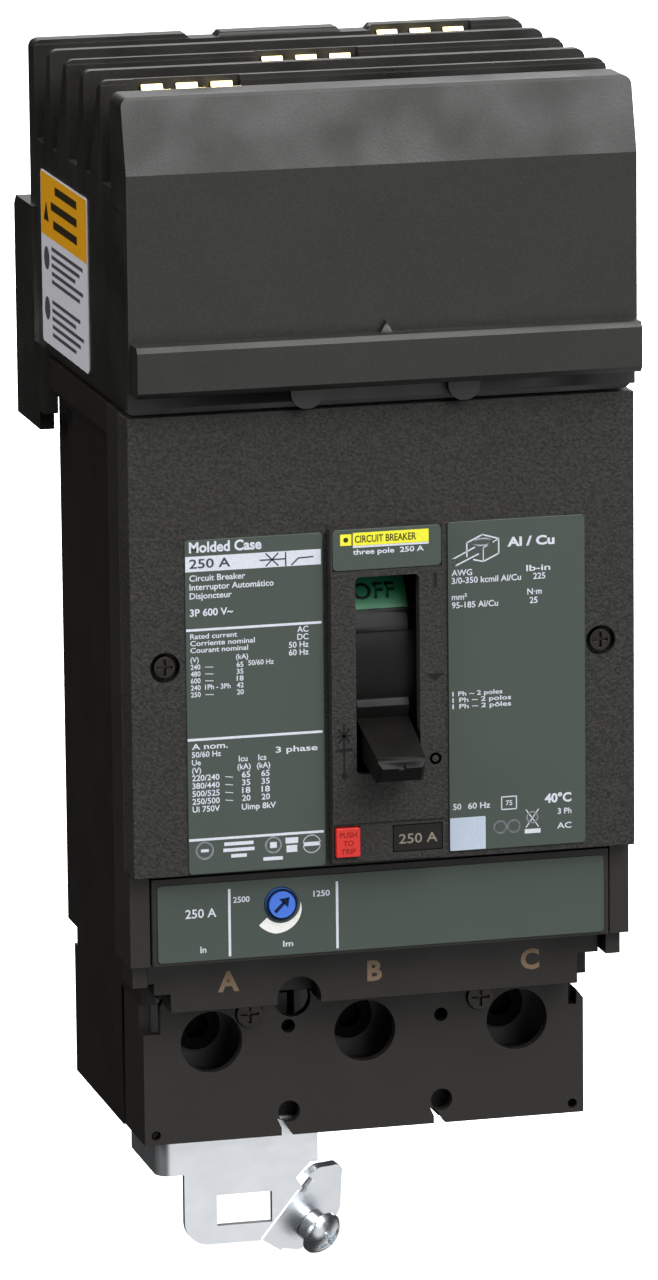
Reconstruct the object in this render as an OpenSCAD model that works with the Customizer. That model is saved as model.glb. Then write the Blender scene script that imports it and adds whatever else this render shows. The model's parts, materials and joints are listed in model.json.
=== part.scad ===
// Three-pole plug-on molded case circuit breaker, upright.
// X runs across the poles, Z up to the line end, and the cover faces -Y.
// The origin is the centre of the flat mounting face at the back of the base.
// A "depth" is always a distance in front of that face, so depth d lies at y = -d.

/* [Case] */
// Distance between pole centres
pole_pitch = 32.2; // [30:0.1:42]
// From an outer pole's centre to the side of the covers
side_reach = 19.8; // [19:0.1:26]
// How far the base stands in from the covers on each side
base_inset = 5.2; // [4:0.1:6]
// Height of the base
base_h = 154; // [148:1:200]
// From the mounting face to the front of the accessory cover
case_d = 86; // [84:1:110]
// Outside wall of the base and covers
wall = 3; // [2:0.1:3.6]
// Walls between the poles
pole_wall = 2.4; // [1.6:0.1:3]
// Depth of cover seen at the side, from its front back to the base
cover_side = 18; // [16:0.5:20]
// Thickness of the accessory cover, front to back
accessory_t = 8.5; // [7:0.5:10]
// Height of the load end, from the accessory cover down
terminal_h = 60.5; // [58:0.5:80]
// Height of the trip unit's front
panel_h = 19.3; // [18:0.1:22]
// Height of the strip that carries the phase letters
strip_h = 11.6; // [10:0.1:14]

/* [Line housing] */
// Height of the plug-on housing above the base
housing_h = 64.3; // [60:0.1:80]
// Depth of the bus slots
slot_h = 20; // [16:0.1:24]
// Spacing of the barrier fins, front to back
fin_pitch = 15.4; // [15:0.1:18]
// Thickness of a fin at its top
fin_t = 2.5; // [2:0.1:3.5]
// Thickness of the rearmost fin
rear_fin_t = 5.4; // [5:0.1:8]
// How far the jaws stand to the left of the pole centres
jaw_shift = 2; // [0:0.1:2.4]
// Clear gap between the jaw fingers
jaw_gap = 5; // [4.6:0.1:5.4]
// Width of one jaw finger
finger_w = 4.6; // [4:0.1:5]
// Spacing of the jaw fingers
finger_pitch = 7.1; // [6.6:0.1:7.6]

/* [Handle] */
// Radius from the handle pivot to its tip
handle_r = 44.8; // [40:0.1:54]
// Half of the handle's swing between off and on, in degrees
handle_half_swing = 24; // [18:1:26]
// Width of the handle at its root
handle_w = 10.7; // [8:0.1:11.5]
// Width of the slot in the escutcheon
slot_w = 13.2; // [12.5:0.1:14]
// Height of the slot in the escutcheon
slot_len = 40.3; // [38:0.1:48]
// Radius of the shutter that closes the slot
shutter_r = 26; // [25:0.1:27]
// Height of the handle pivot above the foot of the accessory cover
handle_rise = 39.2; // [37:0.1:50]

/* [Trip button] */
// How far the trip button travels
button_travel = 2.5; // [1.5:0.1:3]

/* [Contacts] */
// Radius of the rotor drum
drum_r = 15; // [14.5:0.1:16]
// Radius of the rotor journals
journal_r = 13.4; // [11:0.1:14]
// Running clearance round a journal or pivot
run_gap = 0.08; // [0.03:0.01:0.1]
// Depth of the rotor axis
rotor_depth = 34; // [33:0.5:36]
// Swing of the rotor between open and closed, in degrees
rotor_swing = 36; // [30:1:38]
// Thickness of the copper straps
strap_t = 3; // [2:0.1:4]
// Width of the copper straps
strap_w = 14; // [10:0.5:18]

/* [Load end] */
// Radius of the wire bore in a lug
wire_r = 8.8; // [6:0.1:9.2]
// Half width of a lug
lug_hw = 11; // [10.5:0.1:11.4]
// Height of a lug
lug_h = 24; // [18:0.5:25]
// Radius of the thread of a lug's binding screw
lug_screw_r = 5; // [4:0.1:5.6]
// Radius of the tool holes in the terminal shield
tool_hole_r = 6.4; // [5.8:0.1:7.4]
// Thickness of the terminal shield
shield_t = 2.4; // [1.8:0.1:3]
// Thickness of the bracket's sheet steel
sheet_t = 1.6; // [1.2:0.1:2.2]
// Radius of the bracket's captive screw
bracket_screw_r = 3; // [2.5:0.1:3.5]

/* [Hidden] */
$fn = 64;

eps = 0.5;
gap = 0.2;
poles = [-pole_pitch, 0, pole_pitch];
half_w = pole_pitch + side_reach;
base_hw = half_w - base_inset;
base_z0 = -base_h / 2;
base_z1 = base_h / 2;
cover_z0 = base_z0 + terminal_h;
cover_z1 = base_z1;
panel_z0 = cover_z0 - panel_h;
strip_z0 = panel_z0 - strip_h;

d_part = case_d - cover_side;
d_mid = case_d - accessory_t;
d_panel = case_d - 3.5;
d_strip = case_d - 10.5;
d_shield = d_part - 0.5;
d_frame = case_d - 4.3;
d_escutcheon = case_d + 2.7;

housing_z0 = base_z1 + gap;
housing_z1 = base_z1 + housing_h;
deck_z = housing_z1 - slot_h;
deck_t = 3.8;
corner_r = 1.9;
// How far the front plate stops below the fins.
front_drop = 0.9;
jaw_pocket_hw = 10.8;
jaw_pocket_d = 4.5;
foot_front = 14;
// Depth of the vertical face of fin i, counted from the back.
function fin_front(i) = rear_fin_t + i * fin_pitch;
// Depth of the bus bar's centre for phase p: 0 is the rear phase C, 2 the front phase A.
function bus_depth(p) = fin_front(2 * p) + 2.8;
jaw_phase = [2, 1, 0];
jaw_x = [for (x = poles) x - jaw_shift];
slot_front = fin_front(4) + 8.3;
// The plug-on housing stands just proud of the case, or further out where its slots need it.
d_housing = max(case_d + 2.5, slot_front + 12);
d_band = d_housing + 5.5;

handle_z = cover_z0 + handle_rise;
handle_depth = case_d - 28;
shutter_t = 1.5;
shutter_hw = 8;
shutter_half_angle = 74;
flag_a0 = handle_half_swing + 27.2;
flag_a1 = handle_half_swing + 43.5;
escutcheon_hw = 11.6;
escutcheon_z0 = cover_z0 + 1;
escutcheon_z1 = cover_z1 - 24.4;
plate_inset = 0.35;
plate_h = 8.4;
row_z1 = cover_z0 + 9.1;
row_drop = 0.5;
label_gap = 1;
label_t = 0.35;
label_margin = 11.2;

button_x = -8.6;
button_z = cover_z0 + 5.3;
button_w = 5;
button_h = 6;
button_guide_r = 1.8;

rotor_z = handle_z - 2.7;
bar_r = 25;
link_x = 12.6;
link_t = 1.6;
bar_hw = 1.9;
contact_t = 1.2;
contact_gap = 0.15;
strap_offset = bar_hw + contact_gap + contact_t + strap_t / 2;
line_strap_depth = rotor_depth - strap_offset;
load_strap_depth = rotor_depth + strap_offset;
contact_rise = 22;

dial_x = -21;
dial_z = cover_z0 - 7.9;
dial_r = 3.3;
trip_hw = base_hw - wall - 0.5;
trip_d0 = 44;
trip_bar_z = cover_z0 + 0.5;
trip_bar_depth = 62;

case_screw_x = base_hw - 7;
case_screw_z = [cover_z0 + 15.5, base_z1 - 10];
screw_x = half_w - 7;
screw_z = cover_z0 + 42.8;

lug_depth = 37;
lug_front = lug_depth + 15;
lug_back = lug_depth - 10.4;
lug_z0 = base_z0 + 3;
tool_z = base_z0 + 20.8;
rear_step = 6;
lip_z1 = base_z0 + 12;
keyhole_z = base_z0 + 5;
lip_d0 = lug_front + 2;
lip_d1 = d_shield - shield_t - sheet_t - 1.6;
cheek_d = d_part - 18;

bracket_d = lip_d1 + gap;
bracket_x0 = -43;
bracket_x1 = -9.2;
bracket_z0 = base_z0 - 23;
bracket_flange_z0 = base_z0 - 7.9;
bracket_step_x = -37.4;
bracket_rivet_x = [-36, -25];
bracket_tongue_x1 = -20;
fold_a = 51;
fold_bend = 40;
fold_x = -21;
fold_len = 13.5;

// Solid between three pairs of limits.
module span(x, y, z) {
    translate([x[0], y[0], z[0]]) cube([x[1] - x[0], y[1] - y[0], z[1] - z[0]]);
}

// Solid between limits across, depths in front of the mounting face, and heights.
module block(x, d, z) {
    span(x, [-d[1], -d[0]], z);
}

// Outline drawn as [across, height], made solid from depth d[0] forward to d[1].
module facing(d) {
    translate([0, -d[0], 0]) rotate([90, 0, 0]) linear_extrude(d[1] - d[0]) children();
}

// Outline drawn as [depth, height] seen from the side, made solid across x.
module profile(x) {
    translate([x[0], 0, 0]) rotate([90, 0, 90]) linear_extrude(x[1] - x[0]) mirror([1, 0]) children();
}

module rod_across(r, x, depth, z) {
    translate([x[0], -depth, z]) rotate([0, 90, 0]) cylinder(r = r, h = x[1] - x[0]);
}

module rod_forward(r, x, d, z) {
    translate([x, -d[0], z]) rotate([90, 0, 0]) cylinder(r = r, h = d[1] - d[0]);
}

module round_rect(x, z, r) {
    translate([x[0] + r, z[0]]) square([x[1] - x[0] - 2 * r, z[1] - z[0]]);
    translate([x[0], z[0] + r]) square([x[1] - x[0], z[1] - z[0] - 2 * r]);
    for (cx = [x[0] + r, x[1] - r], cz = [z[0] + r, z[1] - r]) translate([cx, cz]) circle(r);
}

// Everything below turns with the handle, drawn with the handle level.
module with_handle() {
    translate([0, -handle_depth, handle_z]) rotate([handle_half_swing, 0, 0]) children();
}

// Everything below turns with the rotor, drawn with the contacts closed.
module with_rotor() {
    translate([0, -rotor_depth, rotor_z]) rotate([rotor_swing, 0, 0]) children();
}

// Sector outline round the origin in the side view, from angle a0 up to a1 ahead of -Y.
module sector(r, a0, a1) {
    polygon(concat([[0, 0]], [for (k = [0:8]) let (a = a0 + (a1 - a0) * k / 8)
        [-r * cos(a), r * sin(a)]]));
}

// Curved strip about the handle pivot.
module arc_strip(r0, r1, hw, a0, a1) {
    intersection() {
        rotate([0, 90, 0]) difference() {
            cylinder(r = r1, h = 2 * hw, center = true, $fn = 128);
            cylinder(r = r0, h = 2 * hw + 1, center = true, $fn = 128);
        }
        translate([-hw, 0, 0]) rotate([90, 0, 90]) linear_extrude(2 * hw) sector(r1 * 1.6, a0, a1);
    }
}

module base_case() {
    color("#1d1a18") difference() {
        union() {
            block([-base_hw, base_hw], [0, d_part - gap], [base_z0, base_z1]);
            facing([foot_front + 0.4, d_part - gap]) polygon([[-base_hw, base_z1 - 12], [-half_w, base_z1 - 6],
                [-half_w, base_z1], [half_w, base_z1], [half_w, base_z1 - 6], [base_hw, base_z1 - 12]]);
        }
        pole_bays();
        trip_pocket();
        lug_chambers();
        rod_across(journal_r + run_gap, [-pole_pitch * 0.6, pole_pitch * 0.6], rotor_depth, rotor_z);
        for (x = poles) block([x - strap_w / 2 - gap, x + strap_w / 2 + gap],
            [line_strap_depth - strap_t / 2 - gap, line_strap_depth + strap_t / 2 + gap],
            [base_z1 - 6, base_z1 + 1]);
        block([-half_w - 1, half_w + 1], [-1, rear_step], [base_z0 - 1, strip_z0]);
        block([-half_w - 1, half_w + 1], [-1, rear_step + 2.5], [strip_z0 - 2, strip_z0 + 2]);
        back_recesses();
        // The slits of the shield's keyholes run on through the lip behind it.
        for (s = [-1, 1]) facing([lip_d0 - 2, lip_d1 + 1])
            translate([s * pole_pitch / 2, keyhole_z]) keyhole_slit();
        for (x = bracket_rivet_x) rod_forward(1.52, x, [bracket_d - 3.5, bracket_d + 1], base_z0 + 6);
    }
    // Bosses on the side walls for the case screws.
    color("#1d1a18") for (s = [-1, 1], z = case_screw_z) difference() {
        block(s > 0 ? [case_screw_x - 4.2, base_hw - 1] : [1 - base_hw, 4.2 - case_screw_x],
            [d_part - 17, d_part - 2], [z - 4, z + 4]);
        rod_forward(1.72, s * case_screw_x, [d_part - 18, d_part + 1], z);
    }
}

module pole_bays() {
    inner = base_hw - wall;
    for (x = poles) {
        x0 = x < 0 ? -inner : x - pole_pitch / 2 + pole_wall / 2;
        x1 = x > 0 ? inner : x + pole_pitch / 2 - pole_wall / 2;
        block([x0, x1], [wall + rear_step, d_part + 1], [strip_z0 - 2, strip_z0 + 4]);
        block([x0, x1], [wall, d_part + 1], [strip_z0 + 3.9, base_z1 - 4]);
    }
}

module trip_pocket() {
    block([wall - base_hw, base_hw - wall], [trip_d0 - 1, d_part + 1], [strip_z0 - 1, cover_z0 + 7]);
}

module lug_chambers() {
    inner = base_hw - wall;
    for (x = poles) {
        x0 = x < 0 ? -inner : x - pole_pitch / 2 + pole_wall / 2;
        x1 = x > 0 ? inner : x + pole_pitch / 2 - pole_wall / 2;
        block([x0, x1], [wall + rear_step, lip_d0], [base_z0 - 1, strip_z0 - 1.9]);
        block([x0, x1], [lip_d0 - 1, d_part + 1], [lip_z1, strip_z0 - 1.9]);
    }
    for (s = [-1, 1]) block(s > 0 ? [inner, half_w + 1] : [-half_w - 1, -inner],
        [cheek_d, d_part + 1], [base_z0 - 1, strip_z0]);
    block([-half_w, half_w], [lip_d1, d_part + 1], [base_z0 - 1, strip_z0]);
}

module back_recesses() {
    for (s = [-1, 1]) facing([-1, 1.2]) round_rect(s > 0 ? [4, base_hw - 12] : [12 - base_hw, -4],
        [strip_z0 + 10, rotor_z - 4], 3);
    for (s = [-1, 1]) facing([-1, 1.2]) round_rect(s > 0 ? [4, base_hw - 12] : [12 - base_hw, -4],
        [rotor_z + 4, base_z1 - 16], 3);
}

module case_cover() {
    frame_x0 = base_hw + 1.1;
    color("#2b2a28") difference() {
        union() {
            block([-half_w, half_w], [d_part, d_mid], [panel_z0, cover_z1]);
            for (s = [-1, 1]) facing([d_part, d_frame]) polygon([[s * frame_x0, panel_z0],
                [s * half_w, panel_z0], [s * half_w, cover_z0 - gap], [s * frame_x0, cover_z0 - gap]]);
            for (s = [-1, 1]) facing([d_part + 2, d_frame - 3]) polygon([[s * (frame_x0 - 1), panel_z0 - 5],
                [s * (half_w - 1), panel_z0 - 5], [s * (half_w - 1), panel_z0 + 1],
                [s * (frame_x0 - 1), panel_z0 + 1]]);
        }
        block([-frame_x0, frame_x0], [d_part - 1, d_mid + 9], [panel_z0 - 9, cover_z0 - 1]);
        block([-half_w + wall, half_w - wall], [d_part - 1, d_mid - wall], [cover_z0 + 3, cover_z1 - wall]);
        block([-shutter_hw - 1.2, shutter_hw + 1.2], [d_part - 1, d_mid + 1],
            [handle_z - shutter_r - 1, handle_z + shutter_r + 1]);
        rod_forward(button_guide_r + 0.6, button_x, [d_part - 1, d_mid + 1], button_z);
        for (s = [-1, 1]) rod_forward(1.2, s * screw_x, [d_part + 2, d_mid + 1], screw_z);
        for (s = [-1, 1], z = case_screw_z) {
            rod_forward(2, s * case_screw_x, [d_part - 1, d_mid + 1], z);
            rod_forward(3.6, s * case_screw_x, [d_mid - 2, d_mid + 1], z);
        }
    }
    color("#2b2a28") for (s = [-1, 1]) difference() {
        rod_forward(3.2, s * (screw_x - 0.1), [d_part + 1, d_mid - wall + 1], screw_z);
        rod_forward(1.2, s * screw_x, [d_part + 2, d_mid + 1], screw_z);
    }
}

module accessory_cover() {
    boss_r = 4.2;
    front_t = 2.5;
    z1 = cover_z1 - 0.1;
    color("#3d3c3a") difference() {
        block([-half_w, half_w], [d_mid, case_d], [cover_z0, z1]);
        difference() {
            block([wall - half_w, half_w - wall], [d_mid - 1, case_d - front_t],
                [cover_z0 + wall, z1 - wall]);
            for (s = [-1, 1]) rod_forward(boss_r, s * screw_x, [d_mid - 1, case_d], screw_z);
        }
        block([-shutter_hw - 0.6, shutter_hw + 0.6], [d_mid - 1, case_d + 1],
            [handle_z - slot_len / 2 - 1.4, handle_z + slot_len / 2 + 1.4]);
        for (s = [-1, 1]) {
            rod_forward(3.1, s * screw_x, [case_d - 2.6, case_d + 1], screw_z);
            rod_forward(1.7, s * screw_x, [d_mid - 1, case_d], screw_z);
        }
        block([button_x - button_w / 2 - gap, button_x + button_w / 2 + gap], [d_mid - 1, case_d + 1],
            [button_z - button_h / 2 - gap, button_z + button_h / 2 + gap]);
    }
}

module escutcheon() {
    color("#2a2927") difference() {
        block([-escutcheon_hw, escutcheon_hw], [case_d, d_escutcheon], [escutcheon_z0, escutcheon_z1]);
        facing([case_d - 1, d_escutcheon + 1]) round_rect([-slot_w / 2, slot_w / 2],
            [handle_z - slot_len / 2, handle_z + slot_len / 2], 1);
        block([button_x - button_w / 2 - gap, button_x + button_w / 2 + gap],
            [case_d - 1, d_escutcheon + 1],
            [button_z - button_h / 2 - gap, button_z + button_h / 2 + gap]);
        block([0.8, escutcheon_hw - 0.4], [d_escutcheon - row_drop - 0.8, d_escutcheon + 1],
            [button_z - 2.8, button_z + 2.8]);
        // Seat of the top plate, open at the upper edge.
        block([plate_inset - escutcheon_hw, escutcheon_hw - plate_inset],
            [d_escutcheon - 0.5, d_escutcheon + 1], [escutcheon_z1 - plate_h, escutcheon_z1 + 1]);
        // Lower row, set back round the trip button and the rating insert.
        block([-escutcheon_hw - 1, escutcheon_hw + 1], [d_escutcheon - row_drop, d_escutcheon + 1],
            [escutcheon_z0 - 1, row_z1]);
    }
}

module line_housing() {
    shell_d1 = d_housing - 4.3;
    color("#232220") difference() {
        union() {
            intersection() {
                profile([-half_w, half_w]) fin_outline(shell_d1);
                facing([-1, shell_d1 + 1]) round_rect([-half_w, half_w], [housing_z0, housing_z1], corner_r);
            }
            for (s = [-1, 1]) profile(s > 0 ? [half_w - 2, half_w + 1] : [-half_w - 1, 2 - half_w])
                foot_outline();
        }
        difference() {
            block([wall - half_w, half_w - wall], [wall, shell_d1 + 1],
                [housing_z0 + wall, deck_z - deck_t]);
            for (x = [jaw_x[0] + pole_pitch / 2, jaw_x[1] + pole_pitch / 2])
                block([x - pole_wall / 2, x + pole_wall / 2], [0, shell_d1 + 2], [housing_z0, deck_z]);
        }
        for (i = [0:2]) jaw_cut(jaw_x[i], bus_depth(jaw_phase[i]));
        for (x = poles) block([x - strap_w / 2 - gap, x + strap_w / 2 + gap],
            [line_strap_depth - strap_t / 2 - gap, line_strap_depth + strap_t / 2 + gap],
            [housing_z0 - 1, housing_z0 + wall + 1]);
        for (s = [-1, 1]) facing([-1, rear_fin_t + 1]) polygon([
            [s * pole_pitch / 2 - 3.9, housing_z1 + 0.1], [s * pole_pitch / 2 - 2.9, housing_z1 - 1],
            [s * pole_pitch / 2 + 2.9, housing_z1 - 1], [s * pole_pitch / 2 + 3.9, housing_z1 + 0.1]]);
    }
}

// Side outline of the housing with its tapered slots.
module fin_outline(d1) {
    difference() {
        polygon([[0, housing_z0], [d1, housing_z0], [d1, deck_z - deck_t],
            [slot_front - gap, deck_z - deck_t], [slot_front - gap, deck_z], [fin_front(4), deck_z],
            [fin_front(4), housing_z1], [0, housing_z1]]);
        for (i = [0:3]) let (foot_w = i % 2 == 0 ? 8 : 4.6)
            polygon([[fin_front(i), housing_z1 + 1], [fin_front(i), deck_z],
                [fin_front(i) + foot_w, deck_z], [fin_front(i + 1) - fin_t, housing_z1],
                [fin_front(i + 1) - fin_t, housing_z1 + 1]]);
        for (i = [0, 2, 4]) translate([fin_front(i) - 0.9, housing_z1 - 0.9]) square([1.5, 1.5]);
    }
}

// The hooked foot that takes hold of the panel, behind and below the housing.
module foot_outline() {
    z0 = housing_z0 - 16;
    polygon([[6, z0 + 46], [-10, z0 + 46], [-12, z0 + 44], [-12, z0], [10, z0], [10, z0 + 4],
        [foot_front, z0 + 4], [foot_front, housing_z0 + 2], [6, housing_z0 + 2]]);
}

// Way through the deck for a set of jaws, and their pocket in the fin behind the slot.
module jaw_cut(x, d) {
    block([x - jaw_pocket_hw, x + jaw_pocket_hw], [d - jaw_pocket_d, d + jaw_pocket_d],
        [deck_z - deck_t - 1, deck_z + eps]);
    block([x - jaw_pocket_hw, x + jaw_pocket_hw], [d - jaw_pocket_d, d + 1], [deck_z, housing_z1 + 1]);
}

module line_front() {
    strip_top = base_z1 + 5;
    top = housing_z1 - front_drop;
    color("#232220") difference() {
        union() {
            intersection() {
                profile([-half_w, half_w]) polygon([[d_housing - 4, housing_z0 + 1.4],
                    [d_housing - 1.6, housing_z0 + 1.4], [d_housing - 1.6, strip_top],
                    [d_housing, strip_top], [d_housing, top - 14.9],
                    [d_housing - 3.8, top - 0.6], [d_housing - 4.5, top],
                    [slot_front, top], [slot_front, deck_z - deck_t + gap],
                    [d_housing - 4, deck_z - deck_t + gap]]);
                facing([slot_front - 1, d_housing + 1])
                    round_rect([-half_w, half_w], [housing_z0, top], corner_r);
            }
            profile([0.5 - half_w, half_w - 0.5]) polygon([[d_housing - 1, strip_top],
                [d_band - 1.2, strip_top], [d_band, strip_top + 1.2], [d_band, strip_top + 9.2],
                [d_band - 1, strip_top + 10.2], [d_housing - 1, strip_top + 10.2]]);
            for (s = [-1, 1]) facing([d_housing - 4, d_housing + 0.6]) intersection() {
                translate([s * pole_pitch / 2, strip_top - 1.2]) circle(3.3);
                translate([s * pole_pitch / 2 - 4, housing_z0 + 0.4]) square([8, 8]);
            }
            // Small pointer at the middle of the band.
            facing([d_housing - 1, d_housing + 1.6]) polygon([[-1.3, strip_top + 10],
                [1.3, strip_top + 10], [0, strip_top + 12.4]]);
        }
        for (s = [-1, 1]) rod_forward(1.6, s * 30, [d_housing - 5, d_housing - 2.4], housing_z0 + 6);
    }
}

module trip_unit_case() {
    front_z1 = cover_z0 - 1.3;
    block_hw = base_hw + 0.8;
    color("#262523") difference() {
        union() {
            block([-block_hw, block_hw], [d_part + gap, d_panel - label_t], [panel_z0, front_z1]);
            block([-trip_hw, trip_hw], [trip_d0, d_part], [strip_z0 + 1, front_z1 - 2]);
            block([-trip_hw, trip_hw], [d_part - 1, d_part + 1], [panel_z0, front_z1 - 2]);
        }
        block([2 - trip_hw, trip_hw - 2], [trip_d0 + 2, d_panel - 3.5], [panel_z0 + 2, front_z1 - 4]);
        rod_forward(dial_r + run_gap, dial_x, [d_panel - 5, d_panel + 1], dial_z);
    }
}

module trip_label() {
    color("#47504a") facing([d_panel - label_t, d_panel]) difference() {
        round_rect([-base_hw + 0.3, base_hw - 0.3], [panel_z0 + 0.7, cover_z0 - 2.6], 0.8);
        translate([dial_x, dial_z]) circle(dial_r + 0.15);
    }
}

module phase_strip() {
    hw = base_hw + 0.5;
    z1 = panel_z0 - 0.3;
    notch_r = 4.6;
    color("#2c2a27") difference() {
        facing([d_part + 0.3, d_strip]) difference() {
            polygon([[-hw, z1], [hw, z1], [hw, z1 - 5], [hw - 4.4, z1 - 5], [hw - 4.4, strip_z0],
                [4.9 - hw, strip_z0], [4.9 - hw, strip_z0 + 3.9], [1.3 - hw, strip_z0 + 3.9],
                [1.3 - hw, z1 - 5], [-hw, z1 - 5]]);
            translate([0.4 - pole_pitch / 2, strip_z0 + 1.2]) circle(notch_r);
        }
        block([6 - hw, hw - 6], [d_part, d_strip - 2.4], [strip_z0 + 6.4, z1 - 1.6]);
    }
}

module terminal_shield() {
    hw = base_hw - 0.4;
    z1 = strip_z0 + 1;
    color("#2f2d29") difference() {
        union() {
            block([-hw, hw], [d_shield - shield_t, d_shield], [base_z0, strip_z0 - gap]);
            block([4 - hw, hw - 4], [d_shield - shield_t, d_shield], [base_z0 + 20, z1 - 0.4]);
            for (s = [-1, 1]) block(s > 0 ? [hw - shield_t, hw] : [-hw, shield_t - hw],
                [cheek_d + 0.3, d_shield], [base_z0, strip_z0 - 0.3]);
        }
        for (x = poles) rod_forward(tool_hole_r, x, [d_shield - shield_t - 1, d_shield + 1], tool_z);
        // Notches at the upper corners, and a round one under the cut-out of the strip.
        block([-hw - 1, 3.6 - hw], [d_shield - 4, d_shield + 1], [base_z0 + 23.2, strip_z0 + 1]);
        block([hw - 3.2, hw - 1.5], [d_shield - 4, d_shield + 1], [base_z0 + 23, strip_z0 + 1]);
        facing([cheek_d, d_shield + 1]) polygon([[hw - 1.6, base_z0 + 26.4], [hw + 1, base_z0 + 23],
            [hw + 1, strip_z0 + 1], [hw - 1.6, strip_z0 + 1]]);
        rod_forward(3.8, 0.9 - pole_pitch / 2, [d_shield - shield_t - 1, d_shield + 1], base_z0 + 28.7);
        for (s = [-1, 1]) {
            rod_forward(1.45, s * pole_pitch / 2, [d_shield - shield_t - 1, d_shield + 1], base_z0 + 23);
            rod_forward(1, s * (hw - 2.4), [d_shield - shield_t - 1, d_shield + 1], base_z0 + 2);
            facing([d_shield - shield_t - 1, d_shield + 1])
                translate([s * pole_pitch / 2, keyhole_z]) keyhole();
            rod_forward(2.9, s * 24.3, [d_shield - 1, d_shield + 1], base_z0 + 26.3);
            rod_forward(1.6, s * 24.3, [d_shield - shield_t - 1, d_shield + 1], base_z0 + 26.3);
        }
    }
}

// Round hole that opens through a slanted slit to the lower edge.
module keyhole() {
    circle(2.3);
    keyhole_slit();
}

module keyhole_slit() {
    polygon([[-2.5, -1.4], [-1.6, -3.4], [-1.6, -6], [1.4, -6], [-1.2, -1.9]]);
}

module face_label(x, z, tint) {
    color(tint) facing([case_d, case_d + label_t]) round_rect(x, z, 0.8);
}

module left_label() {
    face_label([label_margin - half_w, -escutcheon_hw - label_gap], [cover_z0 + 0.3, cover_z1 - 25.1],
        "#4b544e");
}

module right_label() {
    face_label([escutcheon_hw + label_gap + 0.5, half_w - label_margin + 0.8],
        [cover_z0 + 1.3, cover_z1 - 24.6], "#505a52");
}

module top_label() {
    edge = plate_inset + 0.05;
    color("#505a52") facing([d_escutcheon - 0.5, d_escutcheon])
        round_rect([edge - escutcheon_hw, escutcheon_hw - edge],
            [escutcheon_z1 - plate_h + 0.1, escutcheon_z1], 1);
}

module rating_insert() {
    color("#1b1a19") facing([d_escutcheon - row_drop - 0.8, d_escutcheon - row_drop])
        round_rect([1, escutcheon_hw - 0.6], [button_z - 2.6, button_z + 2.6], 0.4);
}

module blank_sticker() {
    x0 = escutcheon_hw + label_gap + 0.6;
    color("#b9c6d8") facing([case_d + label_t, case_d + label_t + 0.15])
        round_rect([x0, x0 + 7.4], [cover_z0 + 1.5, cover_z0 + 8.2], 0.2);
}

module side_sticker() {
    color("#dcdce4") translate([-half_w - 0.2, 0, 0]) rotate([90, 0, 90]) linear_extrude(0.2)
        mirror([1, 0]) round_rect([10.7, 53.4], [housing_z0 + 3, housing_z1 - 25.5], 1.2);
}

module handle() {
    tip = 2.4;
    root_r = shutter_r - shutter_t;
    color("#151413") with_handle() difference() {
        intersection() {
            translate([-handle_w / 2, 0, 0]) rotate([90, 0, 90]) linear_extrude(handle_w) union() {
                // A collar stands across the root, above the arm.
                polygon([[-root_r, 5.2], [-shutter_r - 0.2, 5.2], [-shutter_r - 1.4, 4.2],
                    [-shutter_r - 1.6, 1.6], [2.2 - handle_r, tip + 0.4], [1 - handle_r, tip],
                    [-handle_r, tip - 0.9], [-handle_r, 0.9 - tip], [1 - handle_r, -tip],
                    [-shutter_r - 3, -4.6], [-root_r, -5.2]]);
            }
            translate([0, 0, -10]) linear_extrude(20) polygon([[-handle_w / 2, -root_r + 1],
                [-handle_w / 2, -root_r - 7], [-handle_w / 2 + 0.5, 1 - handle_r],
                [-handle_w / 2 + 1.3, -handle_r], [handle_w / 2 - 1.3, -handle_r],
                [handle_w / 2 - 0.5, 1 - handle_r], [handle_w / 2, -root_r - 7],
                [handle_w / 2, -root_r + 1]]);
        }
        // Locating notch in the face of the tip.
        translate([-0.7, -handle_r - 0.1, tip - 1.4]) cube([1.4, 1, 2]);
    }
    // Stem and hub behind the shutter.
    color("#151413") with_handle() difference() {
        union() {
            translate([-3.2, -root_r, -4]) cube([6.4, root_r - 2, 8]);
            rotate([0, 90, 0]) cylinder(r = 5.2, h = 11, center = true);
        }
        rotate([0, 90, 0]) cylinder(r = 2.5 + run_gap, h = 12, center = true);
    }
}

module handle_shutter() {
    color("#1a1918") with_handle() difference() {
        shutter_shell();
        translate([-handle_w / 2 - 0.03, -shutter_r - 2, -5.25]) cube([handle_w + 0.06, 5, 10.5]);
    }
}

module shutter_shell() {
    union() {
        arc_strip(shutter_r - shutter_t, shutter_r, shutter_hw, -shutter_half_angle, shutter_half_angle);
        for (s = [-1, 1]) arc_strip(shutter_r - 0.5, shutter_r + 0.5, slot_w / 2 - 0.9,
            s > 0 ? flag_a0 - 10.2 : 1.4 - flag_a0, s > 0 ? flag_a0 - 1.4 : 10.2 - flag_a0);
    }
}

module off_flag() {
    color("#2e8a5e") with_handle() arc_strip(shutter_r, shutter_r + 0.3, slot_w / 2 - 0.5, flag_a0, flag_a1);
}

module on_flag() {
    color("#e8e8e4") with_handle() arc_strip(shutter_r, shutter_r + 0.3, slot_w / 2 - 0.5, -flag_a1, -flag_a0);
}

module handle_yoke() {
    color("#b9bec2") with_handle() difference() {
        union() {
            for (s = [-1, 1]) translate([s * 6.6 - 0.7, 0, 0]) rotate([90, 0, 90]) linear_extrude(1.4) {
                circle(4.6);
                translate([-15, -3.5]) square([15, 7]);
            }
            translate([-7.3, -16.2, -3.5]) cube([14.6, 1.4, 7]);
        }
        translate([-3.5, -18, -4.3]) cube([7, 6, 8.6]);
        rotate([0, 90, 0]) cylinder(r = 2.5 + run_gap, h = 20, center = true);
    }
}

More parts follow.
